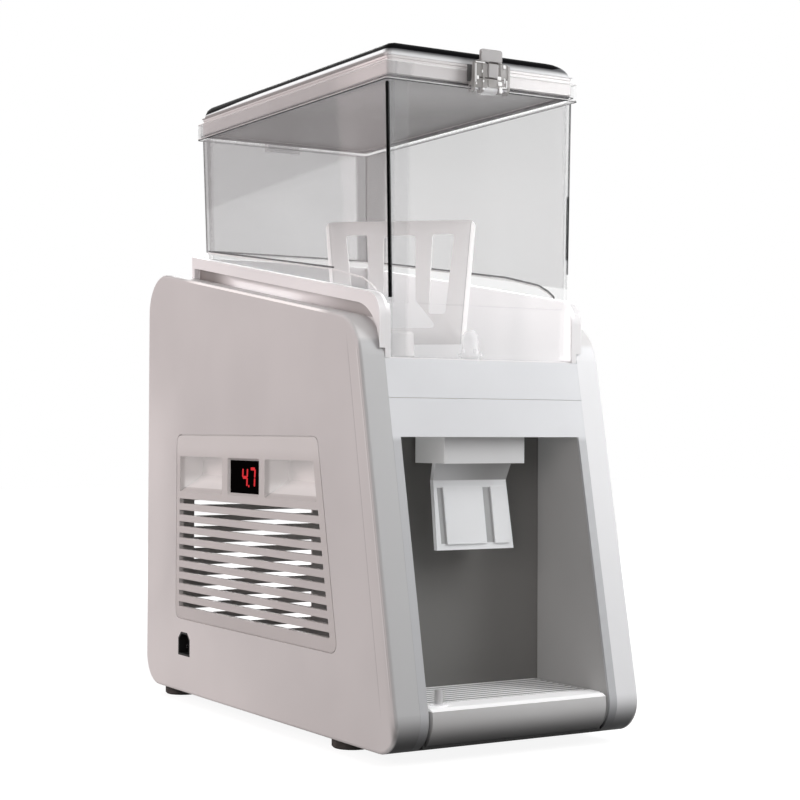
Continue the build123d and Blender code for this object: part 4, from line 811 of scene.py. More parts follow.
class DISPENSER_OT_tank(bpy.types.Operator):
    """Make the clear tank: flared walls, the ledge round them, a rim and painted lines of shade and highlight
    that stand in for what light draws there
    """

    bl_idname = "dispenser.tank"
    bl_label = "Clear tank"

    def execute(self, context):
        sizes = context.scene.dispenser_tank
        wall, step, foot = sizes.wall / MM, sizes.step / MM, 0.8
        rings = [self.ring(0.0, step + foot, below=True)]
        rings += [self.ring(share, step, below=True) for share in (0.004, 0.5, 0.97)]
        rings += [self.ring(share, 0.0, below=False) for share in (0.0, 0.3, 0.6, 1.0)]
        rim = ((RIM_EASE, RIM_LOW), (0.0, RIM_LOW + RIM_EASE), (0.0, RIM_TOP - RIM_EASE), (RIM_EASE, RIM_TOP))
        rings += [level_ring(rim_outline(inset), height) for inset, height in rim]
        rings += [level_ring(rim_outline(2.0, 2.0), height) for height in (RIM_TOP, TANK_TOP)]
        rings += [self.ring(share, wall, below=False) for share in (1.0, 0.5, 0.0)]
        rings += [self.ring(share, step + wall, below=True) for share in (0.97, 0.03)]
        work = bmesh.new()
        loft(work, rings)
        tank = make_piece("clear_tank", work, "clear", "tank", ("tank",))
        tank.visible_shadow = False
        self.corner_lines()
        self.ledge_lines()
        self.rim_lines()
        self.lip_ends()
        return {"FINISHED"}

    def ring(self, share, inset, below):
        """A ring of the wall between the floor and the ledge, or between the ledge and the rim."""
        ring = []
        for number, (x, depth) in enumerate(tank_outline(0.5, inset)):
            ledge = ledge_height(depth)
            height = TANK_LOW + (ledge - TANK_LOW) * share if below else ledge + (RIM_LOW - ledge) * share
            x, depth = tank_outline(tank_share(height), inset)[number]
            ring.append(point(x, depth, height))
        return ring

    def line(self, name, rings, key, closed=False):
        """A painted line of highlight or shade in the clear plastic, which throws no shadow."""
        work = bmesh.new()
        loft(work, rings, closed)
        make_piece(f"tank_{name}", work, key, "tank").visible_shadow = False

    def corner_lines(self):
        """Painted lines of shade up the corners: side, front or rear, width, lower and upper end."""
        lines = (
            ("front_left", -1, 0, 3.0, 384.0, 566.0, "edge_black"),
            ("front_right", 1, 0, 1.5, 412.0, 566.0, "edge_grey"),
            ("front_right_dark", 1, 0, 2.2, 425.0, 482.0, "edge_black"),
            ("rear_left", -1, 1, 1.2, 452.0, 566.0, "edge_grey"),
            ("rear_right", 1, 1, 1.0, 452.0, 566.0, "edge_grey"),
        )
        drawn = 0.35
        section = rounded_box((0.0, 0.0), (1.0, 1.0), 0.3, 3)
        for name, side, rear, width, low, high, key in lines:
            rings = []
            for height in (low, (low + high) / 2, high):
                half, front, back = tank_size(tank_share(height))
                x = side * (half - drawn)
                depth, inward = (back - drawn, -width) if rear else (front + drawn, width)
                rings.append([point(x - side * width * u, depth + inward * v, height) for u, v in section])
            self.line(f"edge_{name}", rings, key)

    def ledge_lines(self):
        """A painted shade line and a painted highlight line along the ledge, down both sides and round the
        rear.
        """
        near = [depth for depth, _ in LEDGE[2:-1]]
        for name, low, thick, key in (("dark", 0.0, 1.7, "edge_grey"), ("pale", -1.4, 1.2, "edge_pale")):
            end = [160.0] if name == "dark" else near[::-1]
            rows = []
            for inset, rise in ((0.3, 0.0), (0.3, thick), (1.3, thick), (1.3, 0.0)):
                rear = [spot for spot in tank_outline(tank_share(420.0), inset) if spot[1] > 200.0]
                right, left = rear[0][0], rear[-1][0]
                spots = [(right, depth) for depth in near] + rear + [(left, depth) for depth in end]
                rows.append([point(x, depth, ledge_height(depth) + low + rise) for x, depth in spots])
            self.line(f"ledge_{name}", list(zip(*rows)), key)

    def rim_lines(self):
        """Painted lines of shade and highlight round the rim: how far each is drawn in, its height and its
        thickness.
        """
        lines = (
            ("low", 0.0, 566.8, 0.5, "edge_grey"), ("shine", 0.0, 567.9, 0.5, "edge_pale"),
            ("inner", 2.1, 570.4, 0.5, "edge_grey"), ("top", 0.2, 582.3, 0.6, "edge_pale"),
        )
        for name, inset, height, thick, key in lines:
            section = ((0.0, 0.0), (0.0, thick), (0.9, thick), (0.9, 0.0))
            rings = [level_ring(rim_outline(inset + drawn), height + rise) for drawn, rise in section]
            self.line(f"rim_{name}", rings, key, closed=True)

    def lip_ends(self):
        """Turn the collar's lip down at its rear end, on both sides."""
        near, height, slope = COVER_TOP
        outline = rounded_box((99.6, 430.4), (105.0, 436.0), 0.8, 3)
        work = bmesh.new()
        for side in (-1, 1):
            loft(work, [
                [point(side * x, depth, height + (depth - near) * slope + over) for x, depth in outline]
                for over in (0.4, 10.4)
            ])
        make_piece("lip_ends", work, "bed", "body")


class TankSizes(bpy.types.PropertyGroup):
    """Walls of the tank"""

    wall: bpy.props.FloatProperty(name="Wall", description="Wall thickness", default=0.003, unit="LENGTH")
    step: bpy.props.FloatProperty(
        name="Ledge", description="How much the tank draws in below its ledge", default=0.002, unit="LENGTH"
    )


# The lid's half width, depths and heights in millimetres
LID_HALF, LID_FRONT, LID_REAR = 96.5, 61.0, 433.7
BAND_TOP, LID_TOP = 588.5, 600.0
CROWN_DROP = 10.8


def lid_outline(inset, radius):
    """The lid's outline, drawn in by inset."""
    return rounded_box((-LID_HALF + inset, LID_FRONT + inset), (LID_HALF - inset, LID_REAR - inset), radius)


def lid_crown(x, depth, sizes):
    """Height of the lid's top: level, and rounded off towards its four edges."""
    left = 1 - (x + LID_HALF) / (sizes.left_round / MM)
    right = 1 - (LID_HALF - x) / (sizes.right_round / MM)
    front = 1 - (depth - LID_FRONT) / (sizes.front_round / MM)
    rear = 1 - (LID_REAR - depth) / (sizes.rear_round / MM)
    side, end = max(left, right, 0.0), max(front, rear, 0.0)
    share = min(1.0, side * side + end * end)
    return LID_TOP - CROWN_DROP * (1 - sqrt(1 - share))


class DISPENSER_OT_lid(bpy.types.Operator):
    """Make the lid: a glossy crowned top, a white band with a groove, and the panel under it"""

    bl_idname = "dispenser.lid"
    bl_label = "Lid"

    def execute(self, context):
        self.crown(context.scene.dispenser_lid)
        self.band()
        self.underside()
        return {"FINISHED"}

    def crown(self, sizes):
        inset, lift = 0.3, 0.6
        shares = [0, 0.004, 0.012, 0.025, 0.045, 0.07, 0.1, 0.14, 0.2, 0.3, 0.4, 0.5]
        half, long = LID_HALF - inset, LID_REAR - LID_FRONT - 2 * inset
        across = [-half + 2 * half * share for share in shares]
        across += [-value for value in reversed(across[:-1])]
        along = [LID_FRONT + inset + long * share * 0.5 for share in shares]
        along += [LID_FRONT + LID_REAR - value for value in reversed(along)]
        work = bmesh.new()
        top, base = [], []
        for x in across:
            heights = [max(BAND_TOP + lift, lid_crown(x, y, sizes)) for y in along]
            top.append([work.verts.new(point(x, y, height)) for y, height in zip(along, heights)])
        for x in across:
            base.append([work.verts.new(point(x, y, BAND_TOP)) for y in along])
        for i in range(len(across) - 1):
            for j in range(len(along) - 1):
                work.faces.new((top[i][j], top[i + 1][j], top[i + 1][j + 1], top[i][j + 1]))
                work.faces.new((base[i][j], base[i][j + 1], base[i + 1][j + 1], base[i + 1][j]))
        rim_top = self.border(top)
        rim_base = self.border(base)
        for here in range(len(rim_top)):
            after = (here + 1) % len(rim_top)
            work.faces.new((rim_base[here], rim_base[after], rim_top[after], rim_top[here]))
        make_piece("lid_crown", work, "lid_top", "lid", ("lid_top",))

    def border(self, grid):
        """The border of a grid of points, once round."""
        first = [row[0] for row in grid]
        second = grid[-1][1:]
        third = [row[-1] for row in grid[-2::-1]]
        fourth = grid[0][-2:0:-1]
        return first + second + third + fourth

    def band(self):
        profile = (
            (6.0, 573.6), (6.0, 571.8), (0.8, 571.8), (0.0, 572.6), (0.0, 584.4), (0.6, 584.8), (0.6, 585.6),
            (0.0, 586.0), (0.0, 587.7), (0.8, BAND_TOP), (2.5, BAND_TOP), (2.5, 573.6),
        )
        work = bmesh.new()
        rings = [level_ring(lid_outline(inset, max(1.0, 5.0 - inset)), height) for inset, height in profile]
        loft(work, rings, closed=True)
        make_piece("lid_band", work, "lid_band", "lid", ("lid_tray",))

    def underside(self):
        work = bmesh.new()
        slab(work, lid_outline(6.1, 1.0), point, 572.4, 574.4)
        make_piece("lid_underside", work, "lid_under", "lid")


class LidSizes(bpy.types.PropertyGroup):
    """How far the lid's top is rounded off at each edge"""

    left_round: bpy.props.FloatProperty(name="Left", description="Rounding", default=0.008, unit="LENGTH")
    right_round: bpy.props.FloatProperty(name="Right", description="Rounding", default=0.026, unit="LENGTH")
    front_round: bpy.props.FloatProperty(name="Front", description="Rounding", default=0.007, unit="LENGTH")
    rear_round: bpy.props.FloatProperty(name="Rear", description="Rounding", default=0.013, unit="LENGTH")


def add_plates(work, plates):
    """Add plates that face the front: two corners, radius, near and far depth and eased edge of each."""
    for low, high, radius, near, far, edge in plates:
        slab(work, rounded_box(low, high, radius), front_place, near, far, edge)


class DISPENSER_OT_latch(bpy.types.Operator):
    """Make the lid's latch: a clear body with prongs, a grey pull tab, and dark plates of painted shade and
    small painted highlights on it
    """

    bl_idname = "dispenser.latch"
    bl_label = "Lid latch"

    def execute(self, context):
        self.tab()
        self.clear_body()
        self.core()
        self.shines()
        self.side()
        return {"FINISHED"}

    def tab(self):
        work = bmesh.new()
        add_plates(work, [((-11.7, 589.8), (10.8, 600.6), 2.4, 48.0, 51.0, 0.5)])
        slab(work, rounded_box((-11.5, 48.2), (10.6, 60.0), 0.8), point, 589.3, 591.9, 0.3)
        add_plates(work, [((-3.4, 576.2), (6.4, 590.4), 0.6, 48.2, 50.4, 0.4)])
        make_piece("latch_tab", work, "latch_tab", "latch", ("latch_arm",))

    def clear_body(self):
        """Four hooked prongs and the plates between them."""
        prong = (
            (48.0, 566.5), (48.0, 588.0), (51.5, 589.0), (52.5, 574.0), (56.8, 570.6), (57.8, 567.0),
            (56.8, 563.6), (53.8, 563.0), (50.2, 563.8),
        )
        work = bmesh.new()
        for low, high in ((-18.4, -16.6), (-9.6, -7.4), (9.0, 10.6), (16.6, 18.6)):
            slab(work, prong, side_place, low, high)
        add_plates(work, [
            ((-17.0, 567.0), (-3.8, 588.4), 1.2, 49.2, 50.8, 0.3),
            ((8.2, 577.0), (17.4, 589.4), 1.2, 49.0, 50.6, 0.3),
            ((-3.2, 568.0), (14.0, 575.2), 1.0, 48.8, 50.6, 0.3),
        ])
        make_piece("latch_body", work, "latch_clear", "latch")

    def core(self):
        # Dark plates of painted shade where light bends in the clear body
        work = bmesh.new()
        add_plates(work, [
            ((-15.6, 568.4), (-10.2, 586.6), 0.6, 50.9, 51.8, 0.2),
            ((-8.8, 570.0), (-4.6, 586.0), 0.6, 50.9, 51.8, 0.2),
            ((-16.8, 575.2), (13.0, 576.0), 0.2, 48.4, 48.9, 0.1),
            ((-3.2, 588.4), (6.2, 589.6), 0.3, 47.9, 48.4, 0.1),
        ])
        make_piece("latch_shade", work, "latch_shade", "latch")

    def shines(self):
        """Painted highlights: small bright spots on the clear body."""
        work = bmesh.new()
        shines = (
            (-17.4, 571.0, -16.3, 587.2), (-17.0, 588.0, -7.0, 589.0), (-15.8, 573.6, -13.6, 576.6),
            (-10.6, 579.6, -9.4, 582.0), (-9.6, 571.4, -8.2, 573.6), (5.6, 574.8, 9.6, 578.0),
            (6.2, 569.8, 10.4, 573.6), (7.6, 563.6, 10.6, 569.0), (11.6, 585.2, 14.4, 588.4),
            (12.6, 572.6, 13.8, 577.0), (14.8, 568.6, 16.0, 575.4), (9.8, 568.0, 15.2, 569.2),
            (-9.8, 564.8, -7.6, 566.8), (-17.0, 569.0, -15.6, 570.6),
        )
        for x0, z0, x1, z1 in shines:
            radius = 0.3 * min(x1 - x0, z1 - z0)
            slab(work, rounded_box((x0, z0), (x1, z1), radius, 3), front_place, 47.9, 48.7, 0.2)
        make_piece("latch_shine", work, "latch_shine", "latch")

    def side(self):
        # A dark plate of painted shade beside the latch
        work = bmesh.new()
        add_plates(work, [((-19.6, 573.0), (-12.6, 587.6), 0.5, 56.6, 57.8, 0.3)])
        make_piece("latch_side", work, "latch_side", "latch")


# The blade's faces in front of and behind its middle plane, its bevels, and the middle they slope towards
BLADE_FACE = 2.0
FRONT_BEVEL, REAR_BEVEL = 3.6, 0.6
BLADE_MIDDLE = (0.0, 410.0)


def stirrer_point(along, height, out):
    """A place on the stirrer: along its blade, up, and out in front of it."""
    x = along * cos(STIRRER_TURN) + out * sin(STIRRER_TURN)
    depth = STIRRER_DEPTH + along * sin(STIRRER_TURN) - out * cos(STIRRER_TURN)
    return point(x, depth, height)


def soft_corners(corners, radii, steps=5):
    """A polygon with round corners."""
    spots = []
    count = len(corners)
    for number, (corner, radius) in enumerate(zip(corners, radii)):
        here = Vector(corner)
        before = (Vector(corners[number - 1]) - here).normalized()
        after = (Vector(corners[(number + 1) % count]) - here).normalized()
        half = before.angle(after) / 2
        reach = radius / tan(half)
        centre = here + (before + after).normalized() * (radius / sin(half))
        start, end = here + before * reach - centre, here + after * reach - centre
        for step in range(steps + 1):
            turned = start.slerp(end, step / steps).normalized() * radius
            spots.append(tuple(centre + turned))
    return spots


class DISPENSER_OT_stirrer(bpy.types.Operator):
    """Make the stirrer: a blade with two windows and an arch, a sloping rim and a hub"""

    bl_idname = "dispenser.stirrer"
    bl_label = "Stirrer"

    def execute(self, context):
        self.blade()
        self.hub()
        return {"FINISHED"}

    def blade(self):
        corners = [
            (-BLADE_LOW_HALF, BLADE_LOW), (-BLADE_TOP_HALF, BLADE_TOP), (BLADE_TOP_HALF, BLADE_TOP),
            (BLADE_LOW_HALF, BLADE_LOW),
        ]
        outline = soft_corners(corners, [5, 6, 6, 5])
        holes = []
        for side in (-1, 1):
            corners = [(side * 27.7, 380.5), (side * 31.0, 455.0), (side * 51.5, 455.0), (side * 43.4, 380.5)]
            holes.append(soft_corners(corners, [3] * 4))
        corners = [
            (-36.0, 367.6), (-15.3, 393.4), (-15.3, 454.0), (15.3, 454.0), (15.3, 393.4), (36.0, 367.6),
        ]
        holes.append(soft_corners(corners, [3, 4, 3, 3, 4, 3]))
        rear, front = (drawn_in(outline, BLADE_MIDDLE, bevel) for bevel in (REAR_BEVEL, FRONT_BEVEL))
        work = bmesh.new()
        self.face(work, [rear] + holes, -BLADE_FACE)
        self.face(work, [front] + holes, BLADE_FACE)
        self.walls(work, [(rear, -BLADE_FACE), (outline, -1.4), (outline, -0.6), (front, BLADE_FACE)])
        for hole in holes:
            self.walls(work, [(hole, -BLADE_FACE), (hole, BLADE_FACE)])
        make_piece("stirrer_blade", work, "stirrer", "stirrer", ("stirrer",))

    def face(self, work, outlines, out):
        """A flat face with holes, so far out in front of the blade's middle."""
        edges = []
        for outline in outlines:
            verts = [work.verts.new(stirrer_point(u, v, out)) for u, v in outline]
            edges += [work.edges.new((verts[n], verts[(n + 1) % len(verts)])) for n in range(len(verts))]
        bmesh.ops.triangle_fill(work, edges=edges, use_beauty=True, use_dissolve=False)

    def walls(self, work, levels):
        """The walls between outlines that lie one in front of the other."""
        rings = [[stirrer_point(u, v, out) for u, v in shape] for shape, out in levels]
        loft(work, rings, capped=False)

    def hub(self):
        """A turned hub with a blind bore for the spindle."""
        profile = (
            (5.08, 340.1), (13.0, 340.1), (14.0, 341.0), (14.0, 362.0), (12.0, 364.1), (0.2, 364.1),
            (0.2, 360.4), (5.08, 360.4),
        )
        metres = [(radius * MM, height * MM) for radius, height in profile]
        work = bmesh.new()
        loft(work, turned_rings(0.0, depth_y(STIRRER_DEPTH), metres, 40), closed=True)
        make_piece("stirrer_hub", work, "stirrer", "stirrer")


# A digit's bars in shares of its width and height, and the bars of each digit
BARS = {
    "a": ((0, 1), (1, 1)), "b": ((1, 1), (1, 0.5)), "c": ((1, 0.5), (1, 0)), "f": ((0, 1), (0, 0.5)),
    "g": ((0, 0.5), (1, 0.5)),
}
DIGITS = {"4": "bcfg", "7": "abc"}
DIGIT_WIDE, DIGIT_TALL, BAR_WIDE = 9.4, 16.6, 2.8
DIGIT_LEAN = 0.08
# Where the digits and the dot stand from the window's middle, towards the rear, and the depth of their light
DIGIT_PLACES = (("4", 4.9), ("7", -10.8))
DOT_PLACE = -7.9
LIT_THICK = 0.1


class DISPENSER_OT_display(bpy.types.Operator):
    """Put the two lit digits behind the display window"""

    bl_idname = "dispenser.display"
    bl_label = "Display digits"

    def execute(self, context):
        low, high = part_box("display_window")
        face = low.x / MM - 0.12
        depth = ((low.y + high.y) / 2 - FRONT_Y) / MM
        height = (low.z + high.z) / 2 / MM - 0.3
        work = bmesh.new()
        for digit, shift in DIGIT_PLACES:
            for bar in DIGITS[digit]:
                self.bar(work, bar, depth + shift, height, face)
        dot = rounded_box((-1.3, -1.1), (1.3, 1.1), 0.6, 3)
        dot = [(depth + DOT_PLACE + u, height + DOT_PLACE + v) for u, v in dot]
        slab(work, dot, side_place, face, face + LIT_THICK)
        make_piece("display_digits", work, "digits", "body")
        return {"FINISHED"}

    def bar(self, work, name, depth, height, face):
        """One bar of a digit, leaning like the real ones; left on the panel is towards the rear."""
        (u0, v0), (u1, v1) = BARS[name]
        start = Vector((u0 * DIGIT_WIDE, (v0 - 0.5) * DIGIT_TALL))
        end = Vector((u1 * DIGIT_WIDE, (v1 - 0.5) * DIGIT_TALL))
        run = (end - start).normalized()
        cross = Vector((-run.y, run.x)) * BAR_WIDE / 2
        trim = run * 0.2
        tip = run * BAR_WIDE / 5
        corners = [
            start + trim, start + trim + tip + cross, end - trim - tip + cross,
            end - trim, end - trim - tip - cross, start + trim + tip - cross,
        ]
        outline = [(depth - (c.x + DIGIT_LEAN * c.y), height + c.y) for c in corners]
        slab(work, outline, side_place, face, face + LIT_THICK)


class CopyNodes(Nodes):
    """A Geometry Nodes tree with named inputs, which makes, places and finishes copies of a shape."""

    def __init__(self, name, **kinds):
        super().__init__(bpy.data.node_groups.new(name, "GeometryNodeTree"))
        kinds.update(Place="Vector", Turn="Rotation", Finish="Material")
        for label, kind in kinds.items():
            self.tree.interface.new_socket(label, in_out="INPUT", socket_type="NodeSocket" + kind)
        self.tree.interface.new_socket("Geometry", in_out="OUTPUT", socket_type="NodeSocketGeometry")
        self.start = self.tree.nodes.new("NodeGroupInput")

    def given(self, label):
        return Value(self, self.start.outputs[label])

    def vector(self, **parts):
        return self.node("ShaderNodeCombineXYZ", inputs=parts)

    def copy(self, points, shape, **inputs):
        """Copy a shape to points, turn and place the copies, make them real and give them their finish."""
        inputs.update({"Points": points, "Instance": shape})
        copies = self.node("GeometryNodeInstanceOnPoints", inputs=inputs)
        inputs = {"Geometry": copies, "Translation": self.given("Place"), "Rotation": self.given("Turn")}
        placed = self.node("GeometryNodeTransform", inputs=inputs)
        real = self.node("GeometryNodeRealizeInstances", inputs={"Geometry": placed})
        inputs = {"Geometry": real, "Material": self.given("Finish")}
        self.end("NodeGroupOutput", self.node("GeometryNodeSetMaterial", inputs=inputs))


def grow(name, nodes, values, key, body):
    """Run a tree on an empty mesh and keep its result as a plain piece."""
    source = bpy.data.objects.new(name + "_source", bpy.data.meshes.new(name + "_source"))
    bpy.context.scene.collection.objects.link(source)
    modifier = source.modifiers.new("copies", "NODES")
    modifier.node_group = nodes.tree
    values = {"Finish": finish_of(key), **values}
    for item in nodes.tree.interface.items_tree:
        if item.in_out == "INPUT" and item.name in values:
            modifier[item.identifier] = values[item.name]
    graph = bpy.context.evaluated_depsgraph_get()
    mesh = bpy.data.meshes.new_from_object(source.evaluated_get(graph))
    source.modifiers.remove(modifier)
    bpy.data.objects.remove(source)
    if not mesh.polygons:
        raise RuntimeError(f"{name} came out empty")
    for face in mesh.polygons:
        face.material_index = 0
    mesh.name = name
    return add_piece(name, mesh, key, body)


def rib_nodes():
    """A row of rounded ribs along X, one step apart."""
    nodes = CopyNodes(
        "rib_row", Length="Float", Count="Int", Step="Vector", Radius="Float", Flatten="Vector"
    )
    length = nodes.given("Length")
    start, end = nodes.vector(X=length * -0.5), nodes.vector(X=length * 0.5)
    line = nodes.node("GeometryNodeCurvePrimitiveLine", inputs={"Start": start, "End": end})
    inputs = {"Resolution": 10, "Radius": nodes.given("Radius")}
    circle = nodes.node("GeometryNodeCurvePrimitiveCircle", inputs=inputs)
    inputs = {"Curve": line, "Profile Curve": circle, "Fill Caps": True}
    rib = nodes.node("GeometryNodeCurveToMesh", inputs=inputs)
    inputs = {"Count": nodes.given("Count"), "Offset": nodes.given("Step")}
    row = nodes.node("GeometryNodeMeshLine", {"mode": "OFFSET"}, inputs)
    nodes.copy(row, rib, Scale=nodes.given("Flatten"))
    return nodes


def screw_nodes():
    """Cross-slotted pan screws on the corners of a grid."""
    nodes = CopyNodes(
        "screw_grid", Width="Float", Height="Float", Columns="Int", Rows="Int", Radius="Float", Rise="Float"
    )
    radius, rise = nodes.given("Radius"), nodes.given("Rise")
    head = nodes.node("GeometryNodeMeshCone", inputs={
        "Vertices": 28, "Radius Top": radius * 0.72, "Radius Bottom": radius, "Depth": rise,
    })
    long, thin, deep = radius * 1.15, radius * 0.24, rise * 1.2
    up = nodes.vector(Z=rise * 0.9)
    slots = []
    for first, second in ((long, thin), (thin, long)):
        block = nodes.node("GeometryNodeMeshCube", inputs={"Size": nodes.vector(X=first, Y=second, Z=deep)})
        slots.append(nodes.node("GeometryNodeTransform", inputs={"Geometry": block, "Translation": up}))
    cut = nodes.node("GeometryNodeMeshBoolean", {"operation": "DIFFERENCE"}, {0: head})
    for slot in slots:
        nodes.feed(cut.socket.node.inputs[1], slot)
    grid = nodes.node("GeometryNodeMeshGrid", inputs={
        "Size X": nodes.given("Width"), "Size Y": nodes.given("Height"),
        "Vertices X": nodes.given("Columns"), "Vertices Y": nodes.given("Rows"),
    })
    nodes.copy(grid, cut)
    return nodes


# Ribs and fins: how many, and how much of their part they leave free along the row and across it, in metres
RIB_COUNT, RIB_LAND, RIB_MARGIN = 9, 0.005, 0.006
FIN_COUNT, FIN_LAND, FIN_MARGIN = 44, 0.008, 0.006
FIN_RADIUS = 0.0035


class DISPENSER_OT_repeats(bpy.types.Operator):
    """Make what repeats: the drip grille's ribs, the condenser's fins and the screws"""

    bl_idname = "dispenser.repeats"
    bl_label = "Ribs, fins and screws"

    def execute(self, context):
        sizes = context.scene.dispenser_repeats
        ribs, screws = rib_nodes(), screw_nodes()
        low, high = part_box("drip_grille")
        pitch = (high.y - low.y - RIB_LAND) / (RIB_COUNT - 1)
        grow("grille_ribs", ribs, {
            "Length": high.x - low.x - RIB_MARGIN, "Count": RIB_COUNT, "Step": (0.0, pitch, 0.0),
            "Radius": sizes.rib_width / 2, "Flatten": (1.0, 1.0, 0.6),
            "Place": (0.0, (low.y + high.y) / 2 - (RIB_COUNT - 1) / 2 * pitch, high.z),
        }, "rib", "drip_grille")
        grow("rear_screws", screws, {
            "Width": 0.168, "Height": 0.33, "Columns": 2, "Rows": 3, "Radius": sizes.screw_radius,
            "Rise": 0.0012, "Place": (0.0, REAR_Y - 0.0006, 0.225), "Turn": (-pi / 2, 0.0, 0.0),
        }, "steel", "body")
        low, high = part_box("base_pan")
        grow("base_screws", screws, {
            "Width": 0.15, "Height": 0.36, "Columns": 2, "Rows": 3, "Radius": sizes.screw_radius,
            "Rise": 0.0024, "Place": (0.0, (low.y + high.y) / 2, low.z + 0.0002), "Turn": (pi, 0.0, 0.0),
        }, "steel", "body")
        low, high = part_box("condenser")
        pitch = (high.y - low.y - FIN_LAND) / (FIN_COUNT - 1)
        grow("condenser_fins", ribs, {
            "Length": high.z - low.z - FIN_MARGIN, "Count": FIN_COUNT, "Step": (0.0, pitch, 0.0),
            "Radius": FIN_RADIUS, "Flatten": (1.0, 0.12, 1.0),
            "Place": (low.x + 0.0002, low.y + FIN_LAND / 2, (low.z + high.z) / 2), "Turn": (0.0, pi / 2, 0.0),
        }, "cold", "body")
        return {"FINISHED"}


class DISPENSER_OT_float(bpy.types.Operator):
    """Make the float that shows how full the drip tray is: a slim stem with a soft top on a flat foot"""

    bl_idname = "dispenser.float"
    bl_label = "Float"

    def execute(self, context):
        low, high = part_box("float_pin")
        middle = (low + high) / 2
        profile = (
            (0.0004, low.z), (0.0074, low.z), (0.0080, low.z + 0.0006), (0.0080, low.z + 0.0024),
            (0.0074, low.z + 0.0030), (0.0036, low.z + 0.0034), (0.0034, low.z + 0.0040),
            (0.0034, high.z - 0.0012), (0.0031, high.z - 0.0004), (0.0025, high.z), (0.0004, high.z),
        )
        work = bmesh.new()
        loft(work, turned_rings(middle.x, middle.y, profile, 32))
        make_piece("float_stem", work, "pin", "float", ("float_pin",))
        return {"FINISHED"}


class RepeatSizes(bpy.types.PropertyGroup):
    """Ribs and screws"""

    rib_width: bpy.props.FloatProperty(
        name="Rib", description="Width of a grille rib", default=0.0020, unit="LENGTH"
    )
    screw_radius: bpy.props.FloatProperty(
        name="Screw", description="Radius of a screw head", default=0.0034, unit="LENGTH"
    )


class DISPENSER_OT_finishes(bpy.types.Operator):
    """Give every CAD node its moulded, metal or rubber finish"""

    bl_idname = "dispenser.finishes"
    bl_label = "Finish the cabinet"

    def execute(self, context):
        for node, key in NODE_FINISHES.items():
            dress(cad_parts[node], key)
        return {"FINISHED"}


